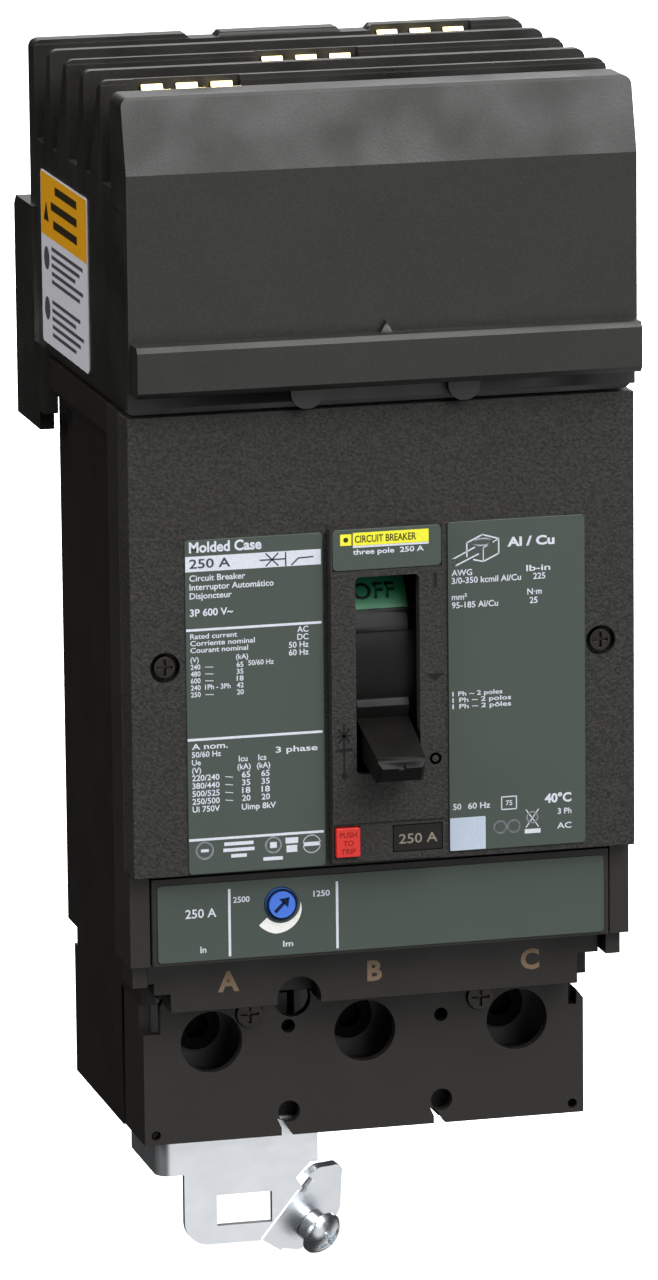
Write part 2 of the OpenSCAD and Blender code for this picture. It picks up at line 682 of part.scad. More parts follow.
module main_springs() {
    turns = 7;
    pitch = 0.8;
    color("#8b9095") with_handle() for (s = [-1, 1]) translate([s * 4.8, -13.6, -9.6]) rotate_extrude()
        polygon(concat([[0, 0]], [for (k = [0:2 * turns]) [k % 2 == 0 ? 0.9 : 1.25, k * pitch / 2]],
            [[0, turns * pitch]]));
}

module trip_button() {
    color("#d9302a") {
        block([button_x - button_w / 2, button_x + button_w / 2],
            [d_mid + 1.5 + button_travel, d_escutcheon + 0.4],
            [button_z - button_h / 2, button_z + button_h / 2]);
        rod_forward(button_guide_r, button_x, [trip_bar_depth + 3.2, d_mid + 5], button_z);
        rod_forward(0.6, button_x, [trip_bar_depth + 1.4, trip_bar_depth + 4], button_z);
    }
}

module trip_button_spring() {
    color("#8b9095") difference() {
        rod_forward(button_guide_r + 0.65, button_x, [d_mid, d_mid + 1.3], button_z);
        rod_forward(button_guide_r + 0.1, button_x, [d_mid - 1, d_mid + 2], button_z);
    }
}

module trip_dial() {
    color("#3a6fd0") difference() {
        union() {
            rod_forward(dial_r, dial_x, [d_panel - 4.6, d_panel + 0.5], dial_z);
            rod_forward(dial_r - 0.6, dial_x, [d_panel + 0.4, d_panel + 1.1], dial_z);
        }
        // Arrow-shaped driver slot.
        translate([dial_x, 0, dial_z]) rotate([0, -45, 0]) {
            block([-2.1, 1.2], [d_panel + 0.5, d_panel + 2], [-0.4, 0.4]);
            facing([d_panel + 0.5, d_panel + 2]) polygon([[0.4, 1.3], [2.1, 0], [0.4, -1.3]]);
        }
    }
}

module trip_bar() {
    lever_z = button_z - trip_bar_z;
    color("#a58a5c") {
        rod_across(2, [2 - trip_hw, trip_hw - 2], trip_bar_depth, trip_bar_z);
        for (x = poles) block([x - 3, x + 3], [trip_bar_depth - 1, trip_bar_depth + 1],
            [trip_bar_z - 3.2, trip_bar_z]);
        block([button_x - 1.6, button_x + 1.6], [trip_bar_depth - 1, trip_bar_depth + 1],
            [trip_bar_z, trip_bar_z + lever_z + 2.4]);
    }
}

module cover_screws() {
    color("#6d6b68") for (s = [-1, 1]) difference() {
        union() {
            rod_forward(2.2, s * screw_x, [case_d - 2.6, case_d - 0.5], screw_z);
            rod_forward(1.2, s * screw_x, [d_part + 4, case_d - 2.5], screw_z);
        }
        cross_recess(s * screw_x, case_d - 0.5, screw_z, 1.6);
    }
}

// Crossed driver slots in a screw head whose face is at depth d.
module cross_recess(x, d, z, reach) {
    block([x - reach, x + reach], [d - 0.8, d + 1], [z - 0.28, z + 0.28]);
    block([x - 0.28, x + 0.28], [d - 0.8, d + 1], [z - reach, z + reach]);
}

module shield_screws() {
    color("#6d6b68") for (s = [-1, 1]) difference() {
        union() {
            rod_forward(2.7, s * 24.3, [d_shield - 1, d_shield + 0.9], base_z0 + 26.3);
            rod_forward(1.5, s * 24.3, [d_shield - shield_t - 5, d_shield], base_z0 + 26.3);
        }
        cross_recess(s * 24.3, d_shield + 0.9, base_z0 + 26.3, 1.9);
    }
}

module case_screws() {
    color("#8b9095") for (s = [-1, 1], z = case_screw_z) difference() {
        union() {
            rod_forward(3.4, s * case_screw_x, [d_mid - 2, d_mid - 0.2], z);
            rod_forward(1.7, s * case_screw_x, [d_part - 16, d_mid - 1.9], z);
        }
        cross_recess(s * case_screw_x, d_mid - 0.2, z, 2.2);
    }
}

module jaws(i) {
    z0 = housing_z0 + 18;
    z1 = housing_z1 - 1;
    color("#c9a566") for (k = [-1, 0, 1], s = [-1, 1]) translate([jaw_x[i] + k * finger_pitch, 0, 0])
        translate([-finger_w / 2, -bus_depth(jaw_phase[i]), 0]) rotate([90, 0, 90])
            linear_extrude(finger_w) scale_side(s) finger_outline(z0, z1);
}

module scale_side(s) {
    if (s > 0) children();
    else mirror([1, 0]) children();
}

// One finger seen from the side, with the bus bar's centre at zero.
module finger_outline(z0, z1) {
    g = jaw_gap / 2;
    polygon([[g, z1 - 7], [g + 0.2, z1 - 2.6], [g + 1.2, z1 - 0.4], [g + 1.4, z1],
        [g + 1.9, z1 - 0.2], [g + 1.9, z1 - 1.2], [g + 1.7, z1 - 9], [g + 1.9, z0 + 12],
        [g + 1.4, z0], [strap_t / 2, z0], [strap_t / 2, z0 + 8], [g + 0.4, z0 + 14], [g + 0.3, z1 - 14]]);
}

module jaw_springs() {
    color("#9aa0a5") for (i = [0:2], k = [-1, 0, 1], s = [-1, 1])
        translate([jaw_x[i] + k * finger_pitch - 1.5, -bus_depth(jaw_phase[i]), 0])
            rotate([90, 0, 90]) linear_extrude(3) scale_side(s) polygon([
                [jaw_gap / 2 + 1.95, housing_z0 + 19], [jaw_gap / 2 + 2.3, housing_z0 + 19],
                [jaw_gap / 2 + 2.4, deck_z - deck_t - 4], [jaw_gap / 2 + 1.95, deck_z - deck_t - 3]]);
}

module line_straps() {
    z_turn = housing_z0 + wall + 3.5;
    z_tip = rotor_z + contact_rise - 5;
    color("#b87a4b") for (i = [0:2]) let (d = bus_depth(jaw_phase[i]), x = poles[i]) {
        block([jaw_x[i] - 9.5, jaw_x[i] + 9.5], [d - strap_t / 2, d + strap_t / 2],
            [z_turn, housing_z0 + 27]);
        block([x - strap_w / 2, x + strap_w / 2],
            [min(d, line_strap_depth) - strap_t / 2, max(d, line_strap_depth) + strap_t / 2],
            [z_turn, z_turn + strap_t]);
        block([x - strap_w / 2, x + strap_w / 2],
            [line_strap_depth - strap_t / 2, line_strap_depth + strap_t / 2], [z_tip + 14, z_turn + 1]);
        block([x - 4.5, x + 4.5],
            [line_strap_depth - strap_t / 2, line_strap_depth + strap_t / 2], [z_tip, z_tip + 15]);
    }
}

module load_straps() {
    z_tip = rotor_z - contact_rise + 5;
    d_end = lug_back - strap_t / 2;
    z_turn = strip_z0 + 2;
    color("#b87a4b") for (x = poles) {
        block([x - 4.5, x + 4.5], [load_strap_depth - strap_t / 2, load_strap_depth + strap_t / 2],
            [z_tip - 15, z_tip]);
        block([x - strap_w / 2, x + strap_w / 2],
            [load_strap_depth - strap_t / 2, load_strap_depth + strap_t / 2], [z_turn, z_tip - 14]);
        block([x - strap_w / 2, x + strap_w / 2],
            [d_end - strap_t / 2, load_strap_depth + strap_t / 2], [z_turn, z_turn + strap_t]);
        block([x - strap_w / 2, x + strap_w / 2], [d_end - strap_t / 2, d_end + strap_t / 2],
            [lug_z0, z_turn + 1]);
    }
}

module fixed_contacts() {
    color("#d6d6d2") for (x = poles) {
        block([x - 3.5, x + 3.5], [line_strap_depth + strap_t / 2, line_strap_depth + strap_t / 2 + contact_t],
            [rotor_z + contact_rise - 4, rotor_z + contact_rise + 3]);
        block([x - 3.5, x + 3.5], [load_strap_depth - strap_t / 2 - contact_t, load_strap_depth - strap_t / 2],
            [rotor_z - contact_rise - 3, rotor_z - contact_rise + 4]);
    }
}

module rotor_drums() {
    hub_hw = pole_pitch / 2 - 0.1;
    outer = base_hw - wall - pole_pitch - 0.3;
    color("#6b3f2c") with_rotor() difference() {
        for (x = poles) {
            translate([x, 0, 0]) rotate([0, 90, 0]) cylinder(r = drum_r, h = 22, center = true);
            rotate([0, 90, 0]) translate([0, 0, x - (x < 0 ? outer : hub_hw)])
                cylinder(r = journal_r, h = (x < 0 ? outer : hub_hw) + (x > 0 ? outer : hub_hw));
        }
        for (x = poles) translate([x - 4.4, -bar_hw - 0.1, -drum_r - 1])
            cube([8.8, 2 * bar_hw + 0.2, 2 * drum_r + 2]);
        // Room beside the middle drum for the drive links.
        for (s = [-1, 1]) translate([s * link_x, 0, 0]) rotate([0, 90, 0]) difference() {
            cylinder(r = drum_r + 1, h = link_t + 0.4, center = true);
            cylinder(r = 5.2, h = link_t + 1, center = true);
        }
        for (s = [-1, 1]) rotate([0, 90, 0]) translate([0, s * 9, 0])
            cylinder(r = 1.5 + 0.05, h = 3 * pole_pitch + 20, center = true);
    }
}

module contact_bars() {
    color("#b87a4b") with_rotor() for (x = poles) translate([x - 3.9, 0, 0]) rotate([90, 0, 90])
        linear_extrude(7.8) polygon([[-bar_hw, -bar_r], [bar_hw, 1 - bar_r], [bar_hw, bar_r],
            [-bar_hw, bar_r - 1]]);
}

module rotor_rods() {
    reach = base_hw - wall - 0.8;
    color("#b9bec2") with_rotor() for (s = [-1, 1]) rotate([0, 90, 0]) translate([0, s * 9, 0])
        cylinder(r = 1.5, h = 2 * reach, center = true);
}

module drive_links() {
    color("#b9bec2") with_rotor() for (s = [-1, 1]) difference() {
        translate([s * link_x - link_t / 2, 0, 0]) rotate([90, 0, 90]) linear_extrude(link_t) {
            translate([-9, 0]) circle(3.4);
            polygon([[-11.4, -2.4], [-6.6, 2.4], [-13, 14], [-17, 11]]);
        }
        rotate([0, 90, 0]) translate([0, -9, 0]) cylinder(r = 1.52, h = 40, center = true);
    }
}

// Steel splitter plates fanned round the path of the contact bar's end.
module chute(a0) {
    for (k = [0:5]) rotate([a0 + k * 5.5, 0, 0]) translate([0, 0, 28.4]) difference() {
        translate([-10, -0.6, 0]) cube([20, 1.2, 9]);
        translate([-3, -1, -0.1]) cube([6, 2, 3]);
    }
}

module arc_chutes_line() {
    color("#9aa0a5") for (x = poles) translate([x, -rotor_depth, rotor_z]) chute(4);
}

module arc_chutes_load() {
    color("#9aa0a5") for (x = poles) translate([x, -rotor_depth, rotor_z]) rotate([180, 0, 0]) chute(4);
}

module mechanism_plates() {
    color("#b9bec2") difference() {
        for (s = [-1, 1]) profile(s > 0 ? [9.6, 11] : [-11, -9.6]) polygon([
            [handle_depth - 7, handle_z - 22], [handle_depth + 7, handle_z - 22],
            [handle_depth + 9, handle_z - 10], [handle_depth + 9, handle_z + 20],
            [handle_depth - 7, handle_z + 20]]);
        rod_across(2.52, [-20, 20], handle_depth, handle_z);
    }
    color("#b9bec2") rod_across(1.6, [-9.7, 9.7], handle_depth - 4, handle_z - 19.5);
}

module handle_pivot() {
    color("#c4c8cb") rod_across(2.5, [-12.4, 12.4], handle_depth, handle_z);
}

module latch() {
    color("#8b9095") difference() {
        profile([-4, 4]) polygon([[handle_depth - 6.6, handle_z - 21.8],
            [handle_depth + 5, handle_z - 21.2], [handle_depth + 6, handle_z - 19.4],
            [handle_depth + 3, handle_z - 18], [handle_depth - 6.6, handle_z - 17.4]]);
        rod_across(1.65, [-5, 5], handle_depth - 4, handle_z - 19.5);
    }
}

module magnet_yokes() {
    z = [panel_z0 + 3, panel_z0 + 11];
    color("#7d8286") for (x = poles) difference() {
        block([x - 8, x + 8], [trip_d0 + 3, trip_d0 + 13], z);
        block([x - 6, x + 6], [trip_d0 + 5, trip_d0 + 14], [z[0] - 1, z[1] + 1]);
    }
}

module bimetals() {
    color("#c2a36b") for (x = poles) block([x - 4, x + 4], [trip_d0 + 8, trip_d0 + 9.2],
        [panel_z0 + 2, cover_z0 - 5.6]);
}

module lugs() {
    color("#c6c9cc") for (x = poles) difference() {
        block([x - lug_hw, x + lug_hw], [lug_back, lug_front], [lug_z0, lug_z0 + lug_h]);
        translate([x, -lug_depth, lug_z0 - 1]) cylinder(r = wire_r, h = lug_h + 2);
        rod_forward(lug_screw_r + 0.02, x, [lug_depth, lug_front + 1], tool_z);
    }
}

module lug_screws() {
    color("#a9adb0") for (x = poles) difference() {
        rod_forward(lug_screw_r, x, [lug_depth + wire_r, lug_front + 2], tool_z);
        facing([lug_front - 2, lug_front + 3]) translate([x, tool_z]) circle(2.9, $fn = 6);
    }
}

module bracket() {
    d = [bracket_d, bracket_d + sheet_t];
    z1 = lip_z1 - 1;
    bend = 3;
    color("#d5dbe0") difference() {
        union() {
            facing(d) bracket_outline(z1);
            // Left flange with its rolled bend.
            block([bracket_x0, bracket_x0 + sheet_t], [bracket_d - 22, d[1] - bend],
                [bracket_flange_z0, base_z0 - 0.3]);
            intersection() {
                translate([bracket_x0 + bend, -(d[1] - bend), bracket_flange_z0]) difference() {
                    cylinder(r = bend, h = z1 - bracket_flange_z0);
                    translate([0, 0, -1]) cylinder(r = bend - sheet_t, h = z1 - bracket_flange_z0 + 2);
                }
                block([bracket_x0 - 1, bracket_x0 + bend], [d[1] - bend, d[1] + 1],
                    [bracket_flange_z0, base_z0 - 0.3]);
            }
            // Right flange.
            block([bracket_x1 - sheet_t, bracket_x1], [bracket_d - 10, d[1]],
                [bracket_flange_z0 + 0.8, base_z0 - 0.3]);
            tab();
        }
        block([-30.6, -19], [d[0] - 1, d[1] + 1], [base_z0 - 19.2, base_z0 - 12.7]);
        for (x = bracket_rivet_x) rod_forward(1.5, x, [d[0] - 1, d[1] + 1], base_z0 + 6);
        tab_place() translate([0, 0, -6]) cylinder(r = bracket_screw_r + 0.05, h = 12);
    }
}

module bracket_outline(z1) {
    fold_x1 = fold_x + fold_len * cos(fold_a);
    fold_z1 = bracket_z0 + fold_len * sin(fold_a);
    r = 5;
    polygon([[bracket_x0 + 3, base_z0 - 0.3], [bracket_x0 + 3, bracket_flange_z0],
        [bracket_step_x, bracket_flange_z0], [bracket_step_x, bracket_z0 + r],
        [bracket_step_x + r, bracket_z0 + r], [bracket_step_x + r, bracket_z0], [fold_x, bracket_z0],
        [fold_x1, fold_z1], [fold_x1 - 1.4, fold_z1 + 2.2], [bracket_x1 - 1.6, bracket_flange_z0 + 0.8],
        [bracket_x1, bracket_flange_z0 + 0.8], [bracket_x1, base_z0 - 0.3], [bracket_x1 - 4, base_z0 - 0.3],
        [bracket_x1 - 4, base_z0 + 3], [bracket_tongue_x1, base_z0 + 3], [bracket_tongue_x1, z1],
        [bracket_x0 + 4, z1], [bracket_x0 + 4, base_z0 - 0.3]]);
    translate([bracket_step_x + r, bracket_z0 + r]) circle(r);
}

// The tab's own frame: origin at the screw hole, Z out of the front of the tab.
module tab_place() {
    tab_frame() translate([7.8, 11.6, 0]) children();
}

// Frame on the fold: X up along the fold, Y away from the plate, Z out of the front face.
module tab_frame() {
    translate([fold_x, -(bracket_d + sheet_t), bracket_z0]) rotate([0, -fold_a, 0])
        rotate([90, 0, 0]) rotate([fold_bend, 0, 0]) mirror([0, 1, 0]) children();
}

module tab() {
    tab_frame() translate([0, 0, -sheet_t]) linear_extrude(sheet_t) difference() {
        union() {
            translate([0, -0.4]) square([fold_len - 1, 9]);
            rounded([[15.8, 3], [17.6, 6.8], [11.6, 14.6], [5.4, 12.6], [3.8, 6]], 3.8);
        }
        translate([fold_len - 1, -1]) square([3.6, 3]);
    }
}

// Convex outline through points, listed anticlockwise, grown by r with round corners.
module rounded(points, r) {
    polygon(points);
    for (i = [0:len(points) - 1]) let (a = points[i], run = points[(i + 1) % len(points)] - a)
        translate(a) {
            circle(r);
            rotate(atan2(run[1], run[0])) translate([0, 0.05 - r]) square([norm(run), r]);
        }
}

module bracket_rivets() {
    color("#c4c8cb") for (x = bracket_rivet_x) {
        rod_forward(1.5, x, [bracket_d - 3, bracket_d + sheet_t], base_z0 + 6);
        rod_forward(2.4, x, [bracket_d + sheet_t, bracket_d + sheet_t + 0.8], base_z0 + 6);
    }
}

module bracket_screw() {
    screw_shank = 6;
    head_r = 4.7;
    shoulder = 3;
    color("#a9adb0") tab_place() difference() {
        union() {
            translate([0, 0, -screw_shank]) cylinder(r = bracket_screw_r, h = screw_shank + shoulder);
            translate([0, 0, gap]) cylinder(r = bracket_screw_r + 0.5, h = shoulder - gap);
            translate([0, 0, shoulder]) intersection() {
                cylinder(r = head_r, h = 4);
                translate([0, 0, -2.2]) sphere(r = 5.6);
            }
        }
        for (a = [20, 110]) rotate([0, 0, a]) translate([-0.6, -2.8, shoulder + 1.8]) cube([1.2, 5.6, 4]);
    }
}

base_case();
case_cover();
accessory_cover();
escutcheon();
line_housing();
line_front();
trip_unit_case();
trip_label();
phase_strip();
terminal_shield();
left_label();
right_label();
top_label();
rating_insert();
blank_sticker();
side_sticker();
handle();
handle_shutter();
off_flag();
on_flag();
handle_yoke();
main_springs();
trip_button();
trip_button_spring();
trip_dial();
trip_bar();
cover_screws();
shield_screws();
case_screws();
jaws(0);  // jaws_a
jaws(1);  // jaws_b
jaws(2);  // jaws_c
jaw_springs();
line_straps();
load_straps();
fixed_contacts();
rotor_drums();
contact_bars();
rotor_rods();
drive_links();
arc_chutes_line();
arc_chutes_load();
mechanism_plates();
handle_pivot();
latch();
magnet_yokes();
bimetals();
lugs();
lug_screws();
bracket();
bracket_rivets();
bracket_screw();
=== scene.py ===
"""Finish, lettering and studio for a three-pole plug-on molded case circuit breaker.

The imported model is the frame. This script softens the edges of its shells, gives every piece the
surface that the real one has, adds the print and small marks, and sets up the studio.
"""

import json
import math

import bmesh
import bpy
from bpy.props import FloatProperty, FloatVectorProperty, PointerProperty
from mathutils import Matrix, Vector

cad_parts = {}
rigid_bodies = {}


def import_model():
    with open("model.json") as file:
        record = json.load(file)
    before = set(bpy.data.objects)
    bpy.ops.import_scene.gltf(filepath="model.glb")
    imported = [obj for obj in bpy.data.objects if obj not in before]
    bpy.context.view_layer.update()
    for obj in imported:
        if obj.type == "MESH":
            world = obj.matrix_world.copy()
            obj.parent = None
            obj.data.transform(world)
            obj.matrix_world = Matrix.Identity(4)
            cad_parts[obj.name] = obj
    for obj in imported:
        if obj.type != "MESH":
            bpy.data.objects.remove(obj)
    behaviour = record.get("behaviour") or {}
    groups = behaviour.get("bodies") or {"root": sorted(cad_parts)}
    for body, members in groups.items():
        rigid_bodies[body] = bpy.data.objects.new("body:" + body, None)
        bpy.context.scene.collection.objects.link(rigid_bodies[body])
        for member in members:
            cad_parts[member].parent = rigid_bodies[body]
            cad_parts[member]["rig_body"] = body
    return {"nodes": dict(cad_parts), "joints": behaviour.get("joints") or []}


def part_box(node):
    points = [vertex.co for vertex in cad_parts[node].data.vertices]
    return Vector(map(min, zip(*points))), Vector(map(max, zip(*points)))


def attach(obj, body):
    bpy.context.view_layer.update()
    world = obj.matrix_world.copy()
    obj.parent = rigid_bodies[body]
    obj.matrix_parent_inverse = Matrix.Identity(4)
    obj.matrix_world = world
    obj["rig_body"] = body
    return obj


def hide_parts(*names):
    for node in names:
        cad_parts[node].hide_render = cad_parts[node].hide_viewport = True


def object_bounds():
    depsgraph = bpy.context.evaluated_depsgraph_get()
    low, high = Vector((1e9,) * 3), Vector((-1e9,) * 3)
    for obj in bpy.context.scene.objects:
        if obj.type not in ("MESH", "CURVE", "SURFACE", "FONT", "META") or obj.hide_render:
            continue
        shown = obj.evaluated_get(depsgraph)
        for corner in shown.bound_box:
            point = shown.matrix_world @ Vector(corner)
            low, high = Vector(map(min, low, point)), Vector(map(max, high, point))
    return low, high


bl_info = {
    "name": "Circuit breaker finish",
    "version": (1, 0, 0),
    "blender": (4, 5, 0),
    "location": "View3D > Sidebar > Breaker",
    "description": "Finishes, prints and lights a packed molded case circuit breaker",
    "category": "Object",
}

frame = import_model()
NODES = frame["nodes"]
CAD_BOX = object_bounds()
MM = 0.001

# Edge radii of the small pieces, and heights of the dial and flags, in millimetres.
HANDLE_EDGE = 0.3
SHUTTER_EDGE = 0.12
BUTTON_EDGE = 0.2
DIAL_EDGE = 0.12
SCREW_EDGE = 0.15
PANEL_SCREW_EDGE = 0.25
SHUTTER_RADIUS = 26.0
FLAG_PROUD = 0.3
DIAL_RECESS = 0.6

# How soften reads the CAD mesh, in millimetres and degrees.
MERGE_DISTANCE = 0.002
FLAT_ANGLE = 0.4
EDGE_ANGLE = 35
SHARP_ANGLE = 12
BEVEL_SEGMENTS = 2
RING_STEPS = 30

# The studio, in metres and degrees.
FLOOR_HALF = 12.0
FLOOR_GAP = 0.0005
SUN_SPREAD = 100
LIGHT_AIM = (0.0, -0.05, 0.03)
CAMERA_AIM_X = -0.0114
CAMERA_AIM_Z = 0.0299

# Softboxes: name, place, size, and the stage setting that holds the power.
SOFTBOXES = (("key_softbox", (0.42, -0.95, 0.8), (0.75, 0.55), "key"),
             ("side_softbox", (-1.1, -0.45, 0.5), (0.6, 0.6), "side"),
             ("back_softbox", (0.9, 1.2, 0.6), (0.6, 0.6), "back"),
             ("high_softbox", (0.1, 1.2, 1.4), (0.6, 0.6), "back"))


def linear(hex_value):
    """Scene-linear colour of an sRGB hex value."""
    parts = [int(hex_value[i:i + 2], 16) / 255 for i in (0, 2, 4)]
    return tuple(c / 12.92 if c <= 0.04045 else ((c + 0.055) / 1.055) ** 2.4 for c in parts)


def tint(name, hex_value, description):
    return FloatVectorProperty(name=name, description=description, subtype="COLOR", size=3,
                               min=0.0, max=1.0, default=linear(hex_value))


def size_mm(name, value, description):
    return FloatProperty(name=name, description=description + ", in millimetres", default=value,
                         min=0.0, precision=3)


def angle(name, degrees, description):
    return FloatProperty(name=name, description=description, default=math.radians(degrees),
                         subtype="ANGLE", unit="ROTATION")


class BreakerColours(bpy.types.PropertyGroup):
    """Colours of the plastics, plates and prints."""

    base: tint("Base", "1c1815", "Phenolic base, black with a touch of brown")
    covers: tint("Covers", "252320", "Fine-textured covers")
    front: tint("Front cover", "2b2a28", "Coarse-textured accessory cover")
    housing: tint("Line housing", "201f1d", "Plug-on housing and its front plate")
    plate: tint("Label plates", "414c45", "Grey-green printed plates")
    handle: tint("Handle", "131211", "Handle and shutter")
    button: tint("Trip button", "d6281f", "Red of the trip button")
    dial: tint("Dial", "3f74dc", "Blue of the trip dial")
    dial_dark: tint("Dial ring", "0d1f3c", "Dark ring and arrow of the dial")
    off_green: tint("Off flag", "237a50", "Green behind the word OFF")
    yellow: tint("Bar", "f2ee3c", "Yellow bar on the top plate")
    orange: tint("Sticker band", "e8a413", "Upper band of the side sticker")
    ink_white: tint("White print", "d7dbe6", "Screen-printed white")
    ink_tan: tint("Tan print", "8f7961", "Phase letters")


class BreakerSizes(bpy.types.PropertyGroup):
    """Edge radii and print thickness."""

    shell_edge: size_mm("Shell edge", 0.45, "Rounding of the big moulded edges")
    thin_edge: size_mm("Thin edge", 0.22, "Rounding of fins, screws and small parts")
    plate_edge: size_mm("Plate edge", 0.12, "Rounding of the printed plates")
    ink: size_mm("Ink", 0.03, "Thickness of the print above its plate")
    stroke: size_mm("Line width", 0.28, "Width of printed lines and symbols")


class BreakerStage(bpy.types.PropertyGroup):
    """Camera and lights."""

    azimuth: angle("Azimuth", -14.28, "Camera direction round the object, 0 looks at the front")
    elevation: angle("Elevation", 12.18, "Camera height above the horizon")
    roll: angle("Roll", -0.6, "Camera roll")
    distance: FloatProperty(name="Distance", description="Camera to target", default=1.59,
                            min=0.5, unit="LENGTH")
    focal: FloatProperty(name="Focal length", description="Camera focal length", default=224.4,
                         min=20.0, unit="CAMERA")
    key: FloatProperty(name="Key light", description="Power of the large front softbox",
                       default=8.0, min=0.0, unit="POWER")
    side: FloatProperty(name="Side light", description="Power of the softbox at the left",
                        default=7.0, min=0.0, unit="POWER")
    back: FloatProperty(name="Back lights", description="Power of each softbox behind",
                        default=14.0, min=0.0, unit="POWER")
    overhead: FloatProperty(name="Overhead light", description="Strength of the light from above",
                            default=1.5, min=0.0)
    room: FloatProperty(name="Room", description="Brightness of the room all round", default=0.05,
                        min=0.0)
    floor_glow: FloatProperty(name="Floor glow", description="Brightness of the lit floor",
                              default=0.8, min=0.0)


def settings():
    return bpy.context.scene.breaker


# Materials ---------------------------------------------------------------------------------------

def add(tree, kind, values=None, links=None):
    """Adds one shader node, sets its sockets or properties, and links sockets into it."""
    node = tree.nodes.new(kind)
    for name, value in (values or {}).items():
        if isinstance(name, int) or name in node.inputs:
            node.inputs[name].default_value = value
        else:
            setattr(node, name, value)
    for name, socket in (links or {}).items():
        tree.links.new(socket, node.inputs[name])
    return node


def start(name, values):
    """An empty material with its shader set up; returns material, tree and shader."""
    material = bpy.data.materials.new(name)
    material.use_nodes = True
    tree = material.node_tree
    tree.nodes.clear()
    shader = add(tree, "ShaderNodeBsdfPrincipled", values)
    add(tree, "ShaderNodeOutputMaterial", links={"Surface": shader.outputs["BSDF"]})
    return material, tree, shader


def noise(tree, size, detail=2.0, stretch=(1.0, 1.0, 1.0)):
    """Noise on Object coordinates whose features are about size millimetres."""
    where = add(tree, "ShaderNodeTexCoord")
    turned = add(tree, "ShaderNodeMapping", {"Scale": stretch}, {"Vector": where.outputs["Object"]})
    return add(tree, "ShaderNodeTexNoise", {"Scale": 1 / (size * MM), "Detail": detail},
               {"Vector": turned.outputs["Vector"]}).outputs["Fac"]


def spread(tree, value, low, high):
    """Maps the middle of a noise to the range low to high."""
    return add(tree, "ShaderNodeMapRange",
               {"From Min": 0.3, "From Max": 0.7, "To Min": low, "To Max": high},
               {"Value": value}).outputs["Result"]


def vary_colour(tree, shader, colour, factor):
    """Base colour times a factor that changes over the surface."""
    scaled = add(tree, "ShaderNodeVectorMath", {"operation": "SCALE", 0: tuple(colour)},
                 {"Scale": factor})
    tree.links.new(scaled.outputs["Vector"], shader.inputs["Base Color"])


def relief(tree, shader, height, depth):
    """Bump of the given depth in millimetres."""
    bump = add(tree, "ShaderNodeBump", {"Strength": 1.0, "Distance": depth * MM}, {"Height": height})
    tree.links.new(bump.outputs["Normal"], shader.inputs["Normal"])


def moulded(name, colour, roughness, grain, depth, mottle, patch=14.0, specular=0.4, cloud=0.05):
    """Moulded plastic: grain of the mould face, faint specks of filler, and slow gloss patches."""
    material, tree, shader = start(name, {"IOR": 1.5, "Specular IOR Level": specular})
    grains = noise(tree, grain, 3.0)
    patches = noise(tree, patch, 2.0)
    vary_colour(tree, shader, colour, spread(tree, grains, 1 - mottle, 1 + mottle))
    gloss = spread(tree, patches, roughness - cloud, roughness + cloud)
    tree.links.new(gloss, shader.inputs["Roughness"])
    relief(tree, shader, grains, depth)
    return material


def phenolic_base():
    """Phenolic moulding compound: hard, dull black-brown with fine wood-flour filler."""
    return moulded("phenolic_moulding", settings().colours.base, 0.5, 0.5, 0.012, 0.18)


def textured_polyamide():
    """Glass-filled polyamide from a spark-eroded mould: the coarse grain scatters highlights.

    The real grain is about 0.3 mm; it is drawn about twice as coarse so that it shows."""
    return moulded("spark_eroded_polyamide", settings().colours.front, 0.6, 0.6, 0.19, 0.6)


def fine_polyamide():
    """Glass-filled polyamide from a finely blasted mould, matt and even."""
    return moulded("blasted_polyamide", settings().colours.covers, 0.5, 0.4, 0.02, 0.15)


def satin_polyamide():
    """Glass-filled polyamide from a smooth mould: satin, with slow flow marks in its gloss."""
    return moulded("satin_polyamide", settings().colours.housing, 0.4, 0.45, 0.02, 0.35, 16.0, 0.5,
                   0.14)


def gloss_polyamide():
    """Handle polyamide from a polished mould: smooth, with a soft sheen."""
    return moulded("polished_polyamide", settings().colours.handle, 0.4, 0.6, 0.002, 0.06, 6.0, 0.16)


def matt_polyamide():
    """Polyamide insert from a blasted mould: black and dull."""
    return moulded("dull_polyamide", linear("171614"), 0.6, 0.35, 0.01, 0.12, 6.0, 0.3)


def printed_plate():
    """Polyester plate with a matt grey-green print: even, with a faint screen grain."""
    return moulded("screen_printed_polyester", settings().colours.plate, 0.42, 0.3, 0.004, 0.05,
                   20.0, 0.45)


def coloured_plastic(name, colour, roughness=0.35):
    """Small coloured moulding with a light orange-peel gloss."""
    return moulded(name, colour, roughness, 0.5, 0.004, 0.06, 3.0, 0.5)


def ink(name, colour):
    """Screen-printing ink: a thin matt film, slightly uneven in density."""
    material, tree, shader = start(name, {"IOR": 1.48, "Specular IOR Level": 0.3})
    density = noise(tree, 0.5, 2.0)
    vary_colour(tree, shader, colour, spread(tree, density, 0.93, 1.05))
    tree.links.new(spread(tree, density, 0.48, 0.58), shader.inputs["Roughness"])
    return material


def label_paper(name, colour):
    """Varnished paper label: soft sheen over short fibres."""
    material, tree, shader = start(name, {"IOR": 1.47, "Specular IOR Level": 0.4})
    fibres = noise(tree, 0.4, 3.0, (1.0, 1.0, 0.3))
    vary_colour(tree, shader, colour, spread(tree, fibres, 0.95, 1.03))
    tree.links.new(spread(tree, fibres, 0.34, 0.44), shader.inputs["Roughness"])
    relief(tree, shader, fibres, 0.004)
    return material


